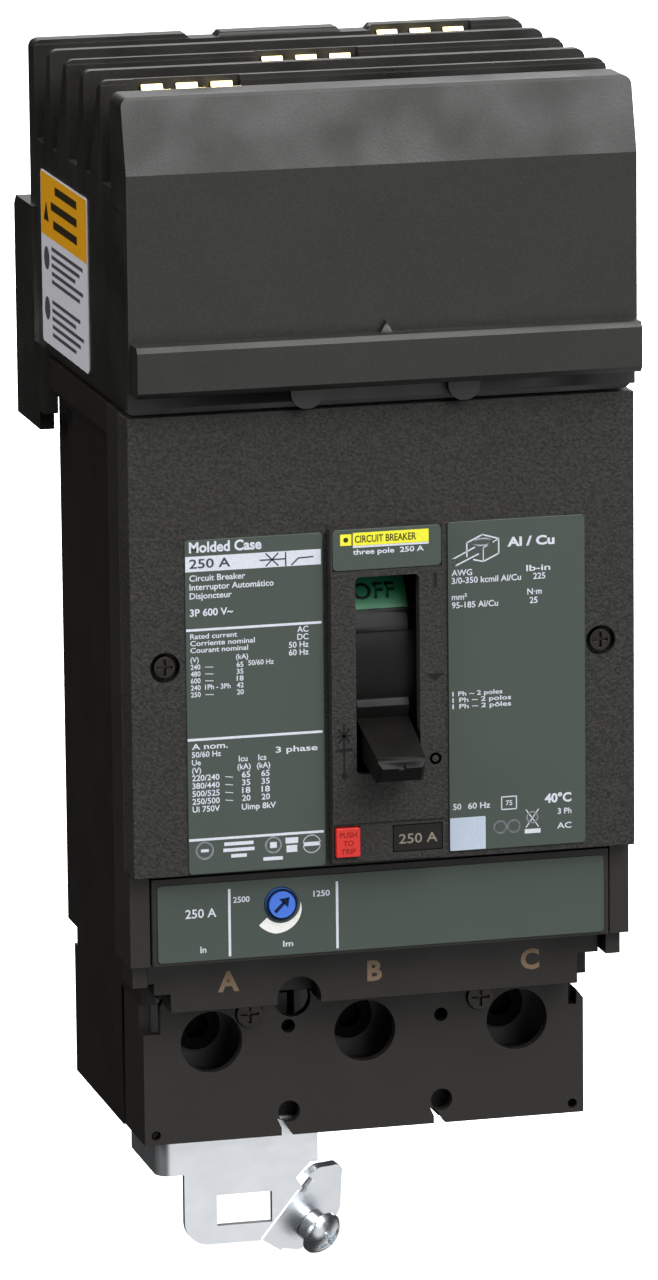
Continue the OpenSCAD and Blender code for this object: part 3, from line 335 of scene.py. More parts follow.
def metal(name, hex_value, roughness, size, stretch, uneven=0.1, depth=0.001, gloss=0.05):
    """Metal whose finishing lines or plating grains are size mm and drawn out by stretch."""
    material, tree, shader = start(name, {"Metallic": 1.0})
    lines = noise(tree, size, 4.0, stretch)
    cloud = noise(tree, 6.0, 2.0)
    vary_colour(tree, shader, linear(hex_value), spread(tree, cloud, 1 - uneven, 1 + uneven / 3))
    tree.links.new(spread(tree, lines, roughness - gloss, roughness + gloss), shader.inputs["Roughness"])
    relief(tree, shader, lines, depth)
    return material


def zinc_sheet():
    """Bright zinc on rolled sheet: silvery, with rolling lines across the strip."""
    return metal("zinc_plated_sheet", "f2f6fa", 0.38, 1.2, (0.3, 1.0, 1.0), 0.05, 0.0006, 0.03)


def zinc_turned():
    """Bright zinc on cold-headed screws and turned pins."""
    return metal("zinc_plated_screw", "dfe4e8", 0.26, 0.8, (1.0, 1.0, 1.0), 0.12, 0.001)


def black_screw():
    """Black-phosphated screw steel: dark, patchy and half dull."""
    return metal("phosphated_steel", "3b3936", 0.4, 0.6, (1.0, 1.0, 1.0), 0.3, 0.003)


def black_oxide():
    """Steel set screws deep in the lug pockets, coloured near-black as painted shade of the pockets,
    nearly without shine.
    """
    return metal("black_oxide_steel", "1c1b1a", 0.55, 0.6, (1.0, 1.0, 1.0), 0.2, 0.001)


def plated_jaw():
    """Plated copper alloy of the jaw fingers, bright cream-gold, with lines along them."""
    return metal("plated_copper_alloy", "f2dca0", 0.24, 0.6, (1.0, 1.0, 0.2), 0.1)


def drawn_steel():
    """Bright drawn spring wire and ground pins."""
    return metal("drawn_spring_steel", "a9adb0", 0.32, 0.4, (1.0, 1.0, 0.1))


def nickel_sheet():
    """Nickel-plated steel splitter plates and magnet yokes."""
    return metal("nickel_plated_sheet", "b3b3ab", 0.3, 0.7, (0.2, 1.0, 1.0))


def copper_strap():
    """Bare rolled copper, slightly tarnished."""
    return metal("rolled_copper", "c98a5e", 0.34, 0.7, (1.0, 1.0, 0.15), 0.25)


def contact_silver():
    """Sintered silver alloy contact tips, fine-grained and matt."""
    return metal("sintered_silver_alloy", "dcdad2", 0.45, 0.25, (1.0, 1.0, 1.0), 0.12, 0.004)


def lug_aluminium():
    """Tin-plated extruded aluminium, dull, with extrusion lines along the wire; its colour is darkened
    as painted shade of the deep lug pockets.
    """
    return metal("tin_plated_aluminium", "6e6f6e", 0.55, 0.5, (1.0, 1.0, 0.08), 0.1, 0.004)


def bimetal_strip():
    """Rolled bimetal strip, straw-coloured from heat treatment."""
    return metal("rolled_bimetal", "bfa472", 0.36, 0.6, (1.0, 1.0, 0.2), 0.2)


def rotor_thermoset():
    """Bulk moulding compound of the rotor: brown, glass-filled, dull."""
    return moulded("bulk_moulding_compound", linear("5e3a2a"), 0.55, 0.7, 0.02, 0.2)


def tan_polyester():
    """Glass-filled polyester of the trip bar."""
    return moulded("glass_filled_polyester", linear("a58a5c"), 0.5, 0.5, 0.01, 0.12)


# Mesh helpers ------------------------------------------------------------------------------------

def finish_piece(name, bm, material, body, smooth=False):
    """Turns a bmesh into a piece that rides on a body."""
    mesh = bpy.data.meshes.new(name)
    bm.to_mesh(mesh)
    bm.free()
    piece = bpy.data.objects.new(name, mesh)
    bpy.context.scene.collection.objects.link(piece)
    mesh.materials.append(material)
    if smooth:
        mesh.shade_smooth()
        mesh.set_sharp_from_angle(angle=math.radians(SHARP_ANGLE))
    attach(piece, body)
    return piece


def soften(node, material, width, shortest=0.0):
    """Stands in for a CAD shell with a copy whose sharp outer edges are rounded by width mm.

    Edges shorter than shortest mm stay sharp, so that small round holes keep their form."""
    cad = NODES[node]
    bm = bmesh.new()
    bm.from_mesh(cad.data)
    bmesh.ops.remove_doubles(bm, verts=bm.verts, dist=MERGE_DISTANCE * MM)
    bmesh.ops.dissolve_limit(bm, angle_limit=math.radians(FLAT_ANGLE), verts=bm.verts,
                             edges=bm.edges, use_dissolve_boundaries=False, delimit={"NORMAL"})
    weight = bm.edges.layers.float.new("bevel_weight_edge")
    for e in bm.edges:
        if (e.is_manifold and e.is_convex and e.calc_face_angle(0) > math.radians(EDGE_ANGLE)
                and e.calc_length() > shortest * MM):
            e[weight] = 1.0
    piece = finish_piece(node + "_finished", bm, material, cad["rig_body"], smooth=True)
    bevel = piece.modifiers.new("edge_radius", "BEVEL")
    bevel.limit_method = "WEIGHT"
    bevel.width = width * MM
    bevel.segments = BEVEL_SEGMENTS
    bevel.profile = 0.5
    bevel.harden_normals = True
    bevel.use_clamp_overlap = True
    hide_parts(node)
    return piece


def dress(nodes, material):
    """Gives CAD nodes whose shape is right their real surface."""
    for node in nodes:
        for slot in NODES[node].material_slots:
            slot.material = material


def on_face(x, z, depth):
    """Matrix that puts a drawing made in XY on a front-facing plane, in millimetres."""
    return Matrix.Translation((x * MM, -depth * MM, z * MM)) @ Matrix.Rotation(math.pi / 2, 4, "X")


def text_mesh(words, bold=0.0):
    """Flat letters one unit tall in capitals, with their lower left corner at the origin."""
    curve = bpy.data.curves.new("letters", "FONT")
    curve.body = words
    curve.offset = bold
    curve.extrude = 0.5
    curve.resolution_u = 3
    holder = bpy.data.objects.new("letters", curve)
    bpy.context.scene.collection.objects.link(holder)
    bpy.context.view_layer.update()
    mesh = bpy.data.meshes.new_from_object(holder.evaluated_get(
        bpy.context.evaluated_depsgraph_get()))
    bpy.data.objects.remove(holder)
    bpy.data.curves.remove(curve)
    return mesh


def cap_height():
    """Height of a capital of the built-in font at size one."""
    mesh = text_mesh("H")
    tall = max(v.co.y for v in mesh.vertices)
    bpy.data.meshes.remove(mesh)
    return tall


class Print:
    """Collects flat print on one front-facing plane, measured in millimetres."""

    def __init__(self, depth):
        self.bm = bmesh.new()
        self.depth = depth
        self.ink = settings().sizes.ink
        self.line = settings().sizes.stroke
        self.cap = cap_height()

    def text(self, words, x, z, height, width=None, align=0.0, bold=0.014):
        """Letters whose baseline starts at x, z; align 1 ends there, and 0.5 centres there."""
        mesh = text_mesh(words, bold)
        left = min(v.co.x for v in mesh.vertices)
        across = max(v.co.x for v in mesh.vertices) - left
        tall = height / self.cap
        stretch = width / across if width else tall
        move = Matrix.Translation((-left - align * across, 0, 0))
        scale = Matrix.Diagonal((stretch * MM, tall * MM, 2 * self.ink * MM, 1))
        mesh.transform(on_face(x, z, self.depth) @ scale @ move)
        self.bm.from_mesh(mesh)
        bpy.data.meshes.remove(mesh)

    def bar(self, x0, x1, z0, z1):
        """Solid printed rectangle."""
        size = Matrix.Diagonal(((x1 - x0) * MM, (z1 - z0) * MM, 2 * self.ink * MM, 1))
        place = on_face((x0 + x1) / 2, (z0 + z1) / 2, self.depth) @ size
        bmesh.ops.create_cube(self.bm, size=1.0, matrix=place)

    def stroke(self, *points, width=None):
        """Printed line through points."""
        wide = width or self.line
        for a, b in zip(points, points[1:]):
            run = Vector(b) - Vector(a)
            size = Matrix.Diagonal(((run.length + wide * 0.6) * MM, wide * MM,
                                    2 * self.ink * MM, 1))
            turn = Matrix.Rotation(math.atan2(run.y, run.x), 4, "Z")
            middle = (Vector(a) + Vector(b)) / 2
            bmesh.ops.create_cube(self.bm, size=1.0,
                                  matrix=on_face(middle.x, middle.y, self.depth) @ turn @ size)

    def ring(self, x, z, radius, width=None, flatten=1.0):
        """Printed circle; flatten squeezes it upright."""
        turns = [math.radians(360.0 * k / RING_STEPS) for k in range(RING_STEPS + 1)]
        points = [(x + radius * math.cos(turn), z + flatten * radius * math.sin(turn))
                  for turn in turns]
        self.stroke(*points, width=width)

    def disc(self, x, z, radius):
        """Solid printed dot."""
        size = Matrix.Diagonal((MM, MM, MM, 1))
        bmesh.ops.create_cone(self.bm, cap_ends=True, segments=32, radius1=radius, radius2=radius,
                              depth=2 * self.ink, matrix=on_face(x, z, self.depth) @ size)

    def shape(self, *points):
        """Solid printed outline through points."""
        place = on_face(0, 0, self.depth + self.ink)
        corners = [self.bm.verts.new(place @ Vector((x * MM, z * MM, 0))) for x, z in points]
        made = bmesh.ops.extrude_face_region(self.bm, geom=[self.bm.faces.new(corners)])
        back = [v for v in made["geom"] if isinstance(v, bmesh.types.BMVert)]
        bmesh.ops.translate(self.bm, verts=back, vec=(0, 2 * self.ink * MM, 0))
        bmesh.ops.recalc_face_normals(self.bm, faces=self.bm.faces)

    def finish(self, name, material, body="case"):
        return finish_piece(name, self.bm, material, body)


# Operators ---------------------------------------------------------------------------------------

class BREAKER_OT_shells(bpy.types.Operator):
    """Rounds the moulded shells and gives them their mould textures"""

    bl_idname = "breaker.shells"
    bl_label = "Moulded shells"

    def execute(self, context):
        edge = settings().sizes.shell_edge
        thin = settings().sizes.thin_edge
        soften("base_case", phenolic_base(), edge, shortest=2)
        fine = fine_polyamide()
        soften("case_cover", fine, edge, shortest=2)
        soften("trip_unit_case", fine, edge, shortest=2)
        soften("phase_strip", fine, thin, shortest=0.6)
        soften("terminal_shield", fine, thin, shortest=0.5)
        textured = textured_polyamide()
        soften("accessory_cover", textured, edge, shortest=1)
        soften("escutcheon", textured, edge, shortest=0.5)
        satin = satin_polyamide()
        soften("line_housing", satin, thin, shortest=1)
        soften("line_front", satin, edge, shortest=0.4)
        return {"FINISHED"}


class BREAKER_OT_controls(bpy.types.Operator):
    """Finishes the handle, shutter, flags, trip button and trip dial"""

    bl_idname = "breaker.controls"
    bl_label = "Handle and trip controls"

    def execute(self, context):
        colours = settings().colours
        gloss = gloss_polyamide()
        soften("handle", gloss, HANDLE_EDGE, shortest=3)
        soften("handle_shutter", gloss, SHUTTER_EDGE, shortest=0.8)
        dress(["off_flag"], coloured_plastic("printed_green_flag", colours.off_green, 0.45))
        dress(["on_flag"], coloured_plastic("printed_white_flag", linear("e4e4df"), 0.45))
        soften("trip_button", coloured_plastic("red_acetal", colours.button), BUTTON_EDGE,
               shortest=1)
        soften("trip_dial", coloured_plastic("blue_acetal", colours.dial), DIAL_EDGE, shortest=0.05)
        self.flag_words()
        self.dial_marks()
        return {"FINISHED"}

    def flag_words(self):
        """OFF and ON, wrapped round the flags of the shutter."""
        handle = next(j for j in frame["joints"] if j["name"] == "handle_tilt")
        pivot = Vector(handle["pos_m"]) / MM
        for words, node, width, colour in (("OFF", "off_flag", 8.8, "04180f"),
                                           ("ON", "on_flag", 6.0, "2a2a2a")):
            low, high = (Vector(c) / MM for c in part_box(node))
            sheet = Print(0.0)
            sheet.text(words, -0.5, -1.6, 3.4, width=width, align=0.5, bold=0.02)
            middle = (low + high) / 2 - pivot
            aim = math.atan2(middle.z, -middle.y)
            radius = SHUTTER_RADIUS + FLAG_PROUD
            for v in sheet.bm.verts:
                turn = aim + v.co.z / MM / radius
                out = radius - v.co.y / MM
                v.co = Vector((v.co.x, (pivot.y - out * math.cos(turn)) * MM,
                               (pivot.z + out * math.sin(turn)) * MM))
            sheet.finish(node + "_word", ink(words.lower() + "_ink", linear(colour)), "handle")

    def dial_marks(self):
        """Dark arrow and ring of the dial."""
        low, high = (Vector(c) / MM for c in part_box("trip_dial"))
        x, z = (low.x + high.x) / 2, (low.z + high.z) / 2
        face = -low.y
        dark = ink("navy_ink", settings().colours.dial_dark)
        marks = Print(face - DIAL_RECESS)
        diagonal = math.sqrt(0.5)
        marks.stroke((x - 1.9 * diagonal, z - 1.9 * diagonal),
                     (x + 0.5 * diagonal, z + 0.5 * diagonal), width=0.76)
        marks.shape((x + 2.05 * diagonal, z + 2.05 * diagonal),
                    (x - 0.85 * diagonal, z + 1.65 * diagonal),
                    (x + 1.65 * diagonal, z - 0.85 * diagonal))
        marks.finish("dial_arrow", dark, "trip_dial")
        ring = Print(face - DIAL_RECESS)
        ring.ring(x, z, 3.0, width=0.5)
        ring.finish("dial_ring", dark, "trip_dial")


class BREAKER_OT_plates(bpy.types.Operator):
    """Gives the label plates, insert and stickers their surfaces"""

    bl_idname = "breaker.plates"
    bl_label = "Label plates"

    def execute(self, context):
        edge = settings().sizes.plate_edge
        plate = printed_plate()
        for node in ("left_label", "right_label", "top_label", "trip_label"):
            soften(node, plate, edge, shortest=0.05)
        soften("rating_insert", matt_polyamide(), edge, shortest=0.3)
        dress(["blank_sticker"], label_paper("pale_blue_label", linear("bcc9da")))
        dress(["side_sticker"], label_paper("white_film_label", linear("e2e2e8")))
        return {"FINISHED"}


class BREAKER_OT_left_print(bpy.types.Operator):
    """Prints the rating table on the left plate"""

    bl_idname = "breaker.left_print"
    bl_label = "Left plate print"

    def execute(self, context):
        low, high = (Vector(c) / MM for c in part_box("left_label"))
        left, right, top, face = low.x + 0.9, high.x - 0.4, high.z, -low.y
        page = Print(face)
        page.text("Molded Case", left, top - 2.5, 2.0, width=14.8, bold=0.03)
        page.bar(low.x + 0.1, right, top - 6.4, top - 3.3)
        for row, (words, width) in enumerate((("Circuit Breaker", 11.4),
                                              ("Interruptor Automático", 17.2),
                                              ("Disjoncteur", 8.6))):
            page.text(words, left, top - 8.3 - 1.8 * row, 1.2, width=width)
        page.text("3P 600 V~", left, top - 15.4, 1.4, width=8.8, bold=0.02)
        for drop in (18.2, 40.5, 61.0):
            page.bar(low.x + 0.1, right, top - drop - 0.25, top - drop + 0.25)
        for row, (words, width) in enumerate((("Rated current", 9.6), ("Corriente nominal", 13.2),
                                              ("Courant nominal", 11.8))):
            page.text(words, left, top - 20.0 - 1.4 * row, 1.0, width=width)
        for row, words in enumerate(("AC", "DC", "50 Hz", "60 Hz")):
            page.text(words, right - 2.7, top - 19.9 - 1.55 * row, 1.15, align=1.0)
        self.rating_rows(page, left, top)
        self.lower_rows(page, left, right, top)
        self.bottom_marks(page, left, top)
        page.finish("left_label_print", ink("white_ink", settings().colours.ink_white))
        self.stripe(left, right, top, face)
        return {"FINISHED"}

    def rating_rows(self, page, left, top):
        page.text("(V)", left, top - 24.7, 1.0)
        page.text("(kA)", left + 9.3, top - 24.6, 1.0)
        page.text("50/60 Hz", left + 11.8, top - 26.0, 1.0, width=5.2)
        for row, (volts, amps) in enumerate(((240, 65), (480, 35), (600, 18), (240, 42), (250, 20))):
            base = top - 26.2 - 1.4 * row
            page.text(str(volts), left, base, 1.0, width=2.0)
            page.text(str(amps), left + 9.4, base, 1.0, width=1.4)
            if row != 3:
                page.stroke((left + 3.0, base + 0.4), (left + 4.6, base + 0.3), width=0.14)
        page.text("1Ph - 3Ph", left + 2.9, top - 30.4, 1.0, width=5.2)

    def lower_rows(self, page, left, right, top):
        page.text("A nom.", left, top - 42.5, 1.15, width=7.4)
        page.text("50/60 Hz", left, top - 44.1, 1.1, width=6.0)
        page.text("Ue", left, top - 45.7, 1.1)
        page.text("(V)", left, top - 47.3, 1.1)
        for row, volts in enumerate(("220/240", "380/440", "500/525", "250/500", "Ui 750V")):
            base = top - 48.9 - 1.6 * row
            page.text(volts, left, base, 1.15, width=5.6)
            if row < 4:
                page.stroke((left + 6.8, base + 0.5), (left + 8.3, base + 0.3), width=0.14)
        for column, name in ((9.6, "Icu"), (13.6, "Ics")):
            page.text(name, left + column, top - 45.5, 1.15)
            page.text("(kA)", left + column - 0.3, top - 47.1, 1.1)
            for row, amps in enumerate((65, 35, 18, 20)):
                page.text(str(amps), left + column + 0.6, top - 48.8 - 1.6 * row, 1.15, width=1.7)
        page.text("Uimp 8kV", left + 10.1, top - 55.4, 1.15, width=7.0)
        page.text("3 phase", right - 1.1, top - 44.2, 1.15, align=1.0, width=8.6)

    def bottom_marks(self, page, left, top):
        """Plain rings and bars where approval marks would stand."""
        page.ring(left + 2.4, top - 63.3, 1.65, width=0.4)
        page.bar(left + 1.6, left + 3.2, top - 63.6, top - 63.0)
        for row, half in enumerate((3.0, 3.2, 1.6)):
            page.bar(left + 9.4 - half, left + 9.4 + half, top - 62.6 - 1.25 * row,
                     top - 61.9 - 1.25 * row)
        page.ring(left + 16.5, top - 63.1, 1.55, width=0.35)
        page.bar(left + 15.8, left + 17.2, top - 63.7, top - 62.5)
        page.bar(left + 14.4, left + 18.4, top - 66.2, top - 65.5)
        page.bar(left + 19.0, left + 21.6, top - 63.0, top - 61.8)
        page.bar(left + 19.2, left + 21.4, top - 64.8, top - 63.4)
        page.ring(left + 24.4, top - 63.4, 1.8, width=0.2)
        page.bar(left + 22.5, left + 26.3, top - 63.8, top - 63.0)

    def stripe(self, left, right, top, face):
        """Dark print on the white stripe: the current and the breaker's circuit symbol."""
        page = Print(face + settings().sizes.ink)
        page.text("250 A", left, top - 5.7, 1.8, width=8.4)
        x, z, reach = left + 16.9, top - 4.85, 1.25
        page.stroke((x - 2.4, z), (x + 2.7, z))
        for side in (-1, 1):
            page.stroke((x - reach, z - side * reach), (x + reach, z + side * reach))
        page.stroke((x + 2.8, z - 1.4), (x + 2.8, z + 1.3))
        page.stroke((x + 4.0, z - 1.3), (x + 5.4, z), (x + 8.4, z + 0.1))
        page.finish("left_label_dark_print", ink("grey_ink", linear("3c424c")))


class BREAKER_OT_right_print(bpy.types.Operator):
    """Prints the lug and wire data on the right plate"""

    bl_idname = "breaker.right_print"
    bl_label = "Right plate print"

    def execute(self, context):
        low, high = (Vector(c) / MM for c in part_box("right_label"))
        left, right, top, bottom, face = low.x + 0.8, high.x - 3.0, high.z, low.z, -low.y
        page = Print(face)
        self.lug_picture(page, left, top)
        page.text("Al / Cu", left + 11.6, top - 5.6, 1.75, width=9.8, bold=0.035)
        page.text("AWG", left, top - 11.0, 1.2)
        page.text("3/0-350 kcmil Al/Cu", left, top - 12.6, 1.2, width=14.4)
        page.text("lb-in", left + 18.0, top - 10.9, 1.2, align=0.5, width=5.0)
        page.text("225", left + 18.2, top - 12.6, 1.2, align=0.5)
        page.text("N·m", left + 17.2, top - 15.7, 1.2, align=0.5)
        page.text("25", left + 17.0, top - 17.5, 1.2, align=0.5)
        page.text("mm²", left, top - 15.9, 1.2)
        page.text("95-185 Al/Cu", left, top - 17.6, 1.2, width=9.6)
        for row, (words, width) in enumerate((("1 Ph ~ 2 poles", 10.4), ("1 Ph ~ 2 polos", 12.2),
                                              ("1 Ph ~ 2 pôles", 12.2))):
            page.text(words, left, top - 35.6 - 1.3 * row, 0.9, width=width)
        page.text("50", left, bottom + 8.6, 1.2)
        page.text("60 Hz", left + 3.1, bottom + 8.6, 1.2, width=4.6)
        page.text("40°C", right, bottom + 8.8, 1.75, align=1.0, width=5.6, bold=0.035)
        page.text("3 Ph", right, bottom + 6.3, 1.15, align=1.0)
        page.text("AC", right, bottom + 3.3, 1.15, align=1.0, width=3.0)
        box = [(left + 10.1, bottom + 8.0), (left + 13.2, bottom + 8.0), (left + 13.2, bottom + 10.6),
               (left + 10.1, bottom + 10.6), (left + 10.1, bottom + 8.0)]
        page.stroke(*box, width=0.22)
        page.text("75", left + 11.65, bottom + 8.8, 1.0, align=0.5)
        for x in (9.8, 12.6):
            page.ring(left + x, bottom + 4.4, 1.2, width=0.32)
        page.stroke((left + 15.2, bottom + 7.6), (left + 17.8, bottom + 4.0), width=0.2)
        page.stroke((left + 17.8, bottom + 7.6), (left + 15.2, bottom + 4.0), width=0.2)
        page.ring(left + 16.5, bottom + 6.0, 1.1, width=0.25)
        page.bar(left + 14.9, left + 18.2, bottom + 2.7, bottom + 3.6)
        page.finish("right_label_print", ink("white_ink_right", settings().colours.ink_white))
        return {"FINISHED"}

    def lug_picture(self, page, left, top):
        """Line drawing of a conductor entering a box lug."""
        x, z = left, top
        top_ring = (x + 6.4, z - 4.4)
        page.ring(*top_ring, 2.0, width=0.3, flatten=0.35)
        page.stroke((x + 3.2, z - 7.2), (x + 3.2, z - 4.4), (x + 6.4, z - 2.9), (x + 9.8, z - 3.9),
                    (x + 9.8, z - 6.9), (x + 6.6, z - 8.4), (x + 4.6, z - 7.9))
        page.stroke((x + 6.6, z - 8.4), (x + 6.6, z - 5.6), (x + 9.8, z - 3.9), width=0.2)
        page.stroke((x + 0.2, z - 7.6), (x + 4.8, z - 5.4))
        page.stroke((x + 0.9, z - 8.9), (x + 5.6, z - 6.8))
        page.ring(x + 0.55, z - 8.2, 0.62, width=0.2)


class BREAKER_OT_front_print(bpy.types.Operator):
    """Prints the top plate, rating insert, trip button, trip plate and phase letters"""

    bl_idname = "breaker.front_print"
    bl_label = "Other front print"

    def execute(self, context):
        colours = settings().colours
        white = ink("white_ink_small", colours.ink_white)
        self.top_plate(white)
        self.insert()
        self.button()
        self.trip_plate(white)
        self.phase_letters()
        self.escutcheon_marks()
        return {"FINISHED"}

    def top_plate(self, white):
        low, high = (Vector(c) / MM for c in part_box("top_label"))
        top, face = high.z, -low.y
        bars = Print(face)
        bars.bar(-9.6, -7.3, top - 3.2, top - 0.9)
        bars.bar(-7.0, 8.6, top - 3.3, top - 0.7)
        bars.finish("top_label_bar", ink("yellow_ink", settings().colours.yellow))
        words = Print(face + settings().sizes.ink)
        words.text("CIRCUIT BREAKER", -6.6, top - 2.7, 1.4, width=12.6)
        words.disc(-8.45, top - 2.05, 0.5)
        words.finish("top_label_word", ink("olive_ink", linear("34330f")))
        under = Print(face)
        under.bar(-7.0, 8.6, top - 3.75, top - 3.35)
        under.text("three pole  250 A", -7.0, top - 5.1, 1.0, width=14.6, bold=0.02)
        under.finish("top_label_print", white)

    def insert(self):
        low, high = (Vector(c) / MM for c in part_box("rating_insert"))
        page = Print(-low.y)
        page.text("250 A", (low.x + high.x) / 2 + 0.1, low.z + 1.5, 1.9, width=8.0, align=0.5,
                  bold=0.01)
        page.finish("rating_insert_print", ink("cream_ink", linear("8a8375")))

    def button(self):
        low, high = (Vector(c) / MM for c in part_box("trip_button"))
        page = Print(-low.y)
        middle = (low.x + high.x) / 2
        for row, words in enumerate(("PUSH", "TO", "TRIP")):
            page.text(words, middle, high.z - 1.9 - 1.7 * row, 1.05, align=0.5)
        page.finish("trip_button_print", ink("dark_red_ink", linear("8f150f")), "trip_button")

    def trip_plate(self, white):
        low, high = (Vector(c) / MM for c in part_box("trip_label"))
        left, top, bottom, face = low.x, high.z, low.z, -low.y
        page = Print(face)
        page.text("250 A", left + 5.7, top - 7.0, 1.75, width=6.4)
        page.text("In", left + 8.7, bottom + 1.7, 1.3)
        for x in (14.8, 37.1):
            page.bar(left + x - 0.26, left + x + 0.26, bottom + 0.6, top - 1.5)
        page.text("2500", left + 15.6, top - 4.4, 1.15, width=3.4)
        page.text("1250", left + 32.2, top - 4.3, 1.15, width=3.4)
        page.text("Im", left + 25.8, bottom + 1.8, 1.15, width=2.1)
        page.finish("trip_label_print", white)
        self.crescent(face)

    def crescent(self, face):
        """White wedge that widens from the low setting to the high one."""
        dial_low, dial_high = (Vector(c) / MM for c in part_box("trip_dial"))
        x, z = (dial_low.x + dial_high.x) / 2, (dial_low.z + dial_high.z) / 2
        inner, widest, steps = 4.0, 2.2, 28
        scale = Print(face)
        outer, inner_edge = [], []
        for k in range(steps + 1):
            turn = math.radians(222 + 140 * k / steps)
            width = widest * min(1.0, 1.35 * (1 - k / steps)) + 0.02
            for points, r in ((outer, inner + width), (inner_edge, inner)):
                points.append((x + r * math.cos(turn), z + r * math.sin(turn)))
        scale.shape(*outer, *reversed(inner_edge))
        scale.finish("dial_scale", ink("bright_white_ink", linear("f6f6f2")))

    def phase_letters(self):
        low, high = (Vector(c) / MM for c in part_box("phase_strip"))
        page = Print(-low.y)
        for words, node, shift in (("A", "jaws_a", 3.8), ("B", "jaws_b", 2.1), ("C", "jaws_c", 2.6)):
            box_low, box_high = (Vector(c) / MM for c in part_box(node))
            page.text(words, (box_low.x + box_high.x) / 2 + shift, high.z - 7.4, 3.9, align=0.5,
                      bold=0.035)
        page.finish("phase_letters", ink("tan_ink", settings().colours.ink_tan))

    def escutcheon_marks(self):
        """I, O, arrow and trip symbol in the face of the escutcheon."""
        low, high = (Vector(c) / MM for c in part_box("escutcheon"))
        page = Print(-low.y)
        page.stroke((9.9, high.z - 12.6), (9.9, high.z - 9.9), width=0.6)
        page.ring(9.7, high.z - 47.7, 0.95, width=0.5)
        page.shape((7.9, high.z - 30.3), (9.75, high.z - 31.8), (11.6, high.z - 30.3))
        x, z = -9.2, high.z - 41.9
        for side in (-1, 1):
            page.stroke((x - 1.1, z - side * 1.4), (x + 1.1, z + side * 1.4), width=0.45)
        page.stroke((x - 1.4, z), (x + 1.4, z), width=0.4)
        page.stroke((x - 1.5, z - 2.9), (x + 1.5, z - 2.9), width=0.6)
        page.stroke((x, z + 2.4), (x, z - 7.6), width=0.45)
        page.disc(x, z - 8.2, 0.7)
        page.finish("escutcheon_marks", ink("engraved_shadow", linear("131211")))


class BREAKER_OT_side_print(bpy.types.Operator):
    """Prints the colour band and plain bars on the side sticker"""

    bl_idname = "breaker.side_print"
    bl_label = "Side sticker print"

    def execute(self, context):
        low, high = (Vector(c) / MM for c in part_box("side_sticker"))
        split = high.z - 13.2
        front, rear = -low.y, -high.y
        band = self.sheet([(rear + 0.3, front - 0.3, split, high.z - 0.3)], low.x)
        finish_piece("side_sticker_band", band, ink("orange_ink", settings().colours.orange), "case")
        dark = [(front - 9.0 - reach, front - 9.0, high.z - 3.6 - 3.6 * row, high.z - 1.9 - 3.6 * row)
                for row, reach in enumerate((20.0, 24.0, 22.0))]
        words = self.sheet(dark, low.x - 0.03)
        side = 4.6
        corners = [words.verts.new(((low.x - 0.08) * MM, -d * MM, z * MM)) for d, z in (
            (rear + 3.0, split + 3.2), (rear + 3.0 + side, split + 3.2),
            (rear + 3.0 + side / 2, split + 3.2 + side * 0.87))]
        words.faces.new(corners)
        finish_piece("side_sticker_words", words, ink("black_ink", linear("2b2412")), "case")
        rows = []
        for column in (0, 1):
            margin = rear + 9.5
            for row in range(5):
                top = split - 1.6 - 1.7 * row - 11.0 * column
                reach = (29.0, 26.0, 22.0)[(row + column) % 3]
                rows.append((margin, margin + reach, top - 0.8, top))
        grey = self.sheet(rows, low.x)
        for spot in (split - 4.6, split - 15.0):
            place = Matrix.Translation(((low.x - 0.02) * MM, -(rear + 5.0) * MM, spot * MM))
            bmesh.ops.create_cone(grey, cap_ends=True, segments=24, radius1=2.4 * MM,
                                  radius2=2.4 * MM, depth=0.08 * MM,
                                  matrix=place @ Matrix.Rotation(math.pi / 2, 4, "Y"))
        finish_piece("side_sticker_lines", grey, ink("grey_ink_side", linear("4c4e55")), "case")
        return {"FINISHED"}

    def sheet(self, boxes, x):
        """Thin blocks on the left side, given as depth and height ranges."""
        bm = bmesh.new()
        for d0, d1, z0, z1 in boxes:
            size = Matrix.Diagonal((0.06 * MM, (d1 - d0) * MM, (z1 - z0) * MM, 1))
            place = Matrix.Translation((x * MM, -(d0 + d1) / 2 * MM, (z0 + z1) / 2 * MM))
            bmesh.ops.create_cube(bm, size=1.0, matrix=place @ size)
        return bm


class BREAKER_OT_hardware(bpy.types.Operator):
    """Finishes the screws, jaws, lugs and steel bracket"""

    bl_idname = "breaker.hardware"
    bl_label = "Screws, jaws and bracket"

    def execute(self, context):
        thin = settings().sizes.thin_edge
        dark = black_screw()
        soften("cover_screws", dark, SCREW_EDGE, shortest=0.05)
        soften("shield_screws", dark, SCREW_EDGE, shortest=0.05)
        jaw = plated_jaw()
        for node in ("jaws_a", "jaws_b", "jaws_c"):
            soften(node, jaw, thin, shortest=0.3)
        soften("bracket", zinc_sheet(), thin, shortest=0.3)
        turned = zinc_turned()
        soften("bracket_screw", turned, PANEL_SCREW_EDGE, shortest=0.05)
        dress(["case_screws", "bracket_rivets"], turned)
        # Lug screws: coloured near-black as painted shade of the deep lug pockets.
        dress(["lug_screws"], black_oxide())
        # Lugs: colour darkened as painted shade of the deep lug pockets.
        dress(["lugs"], lug_aluminium())
        return {"FINISHED"}


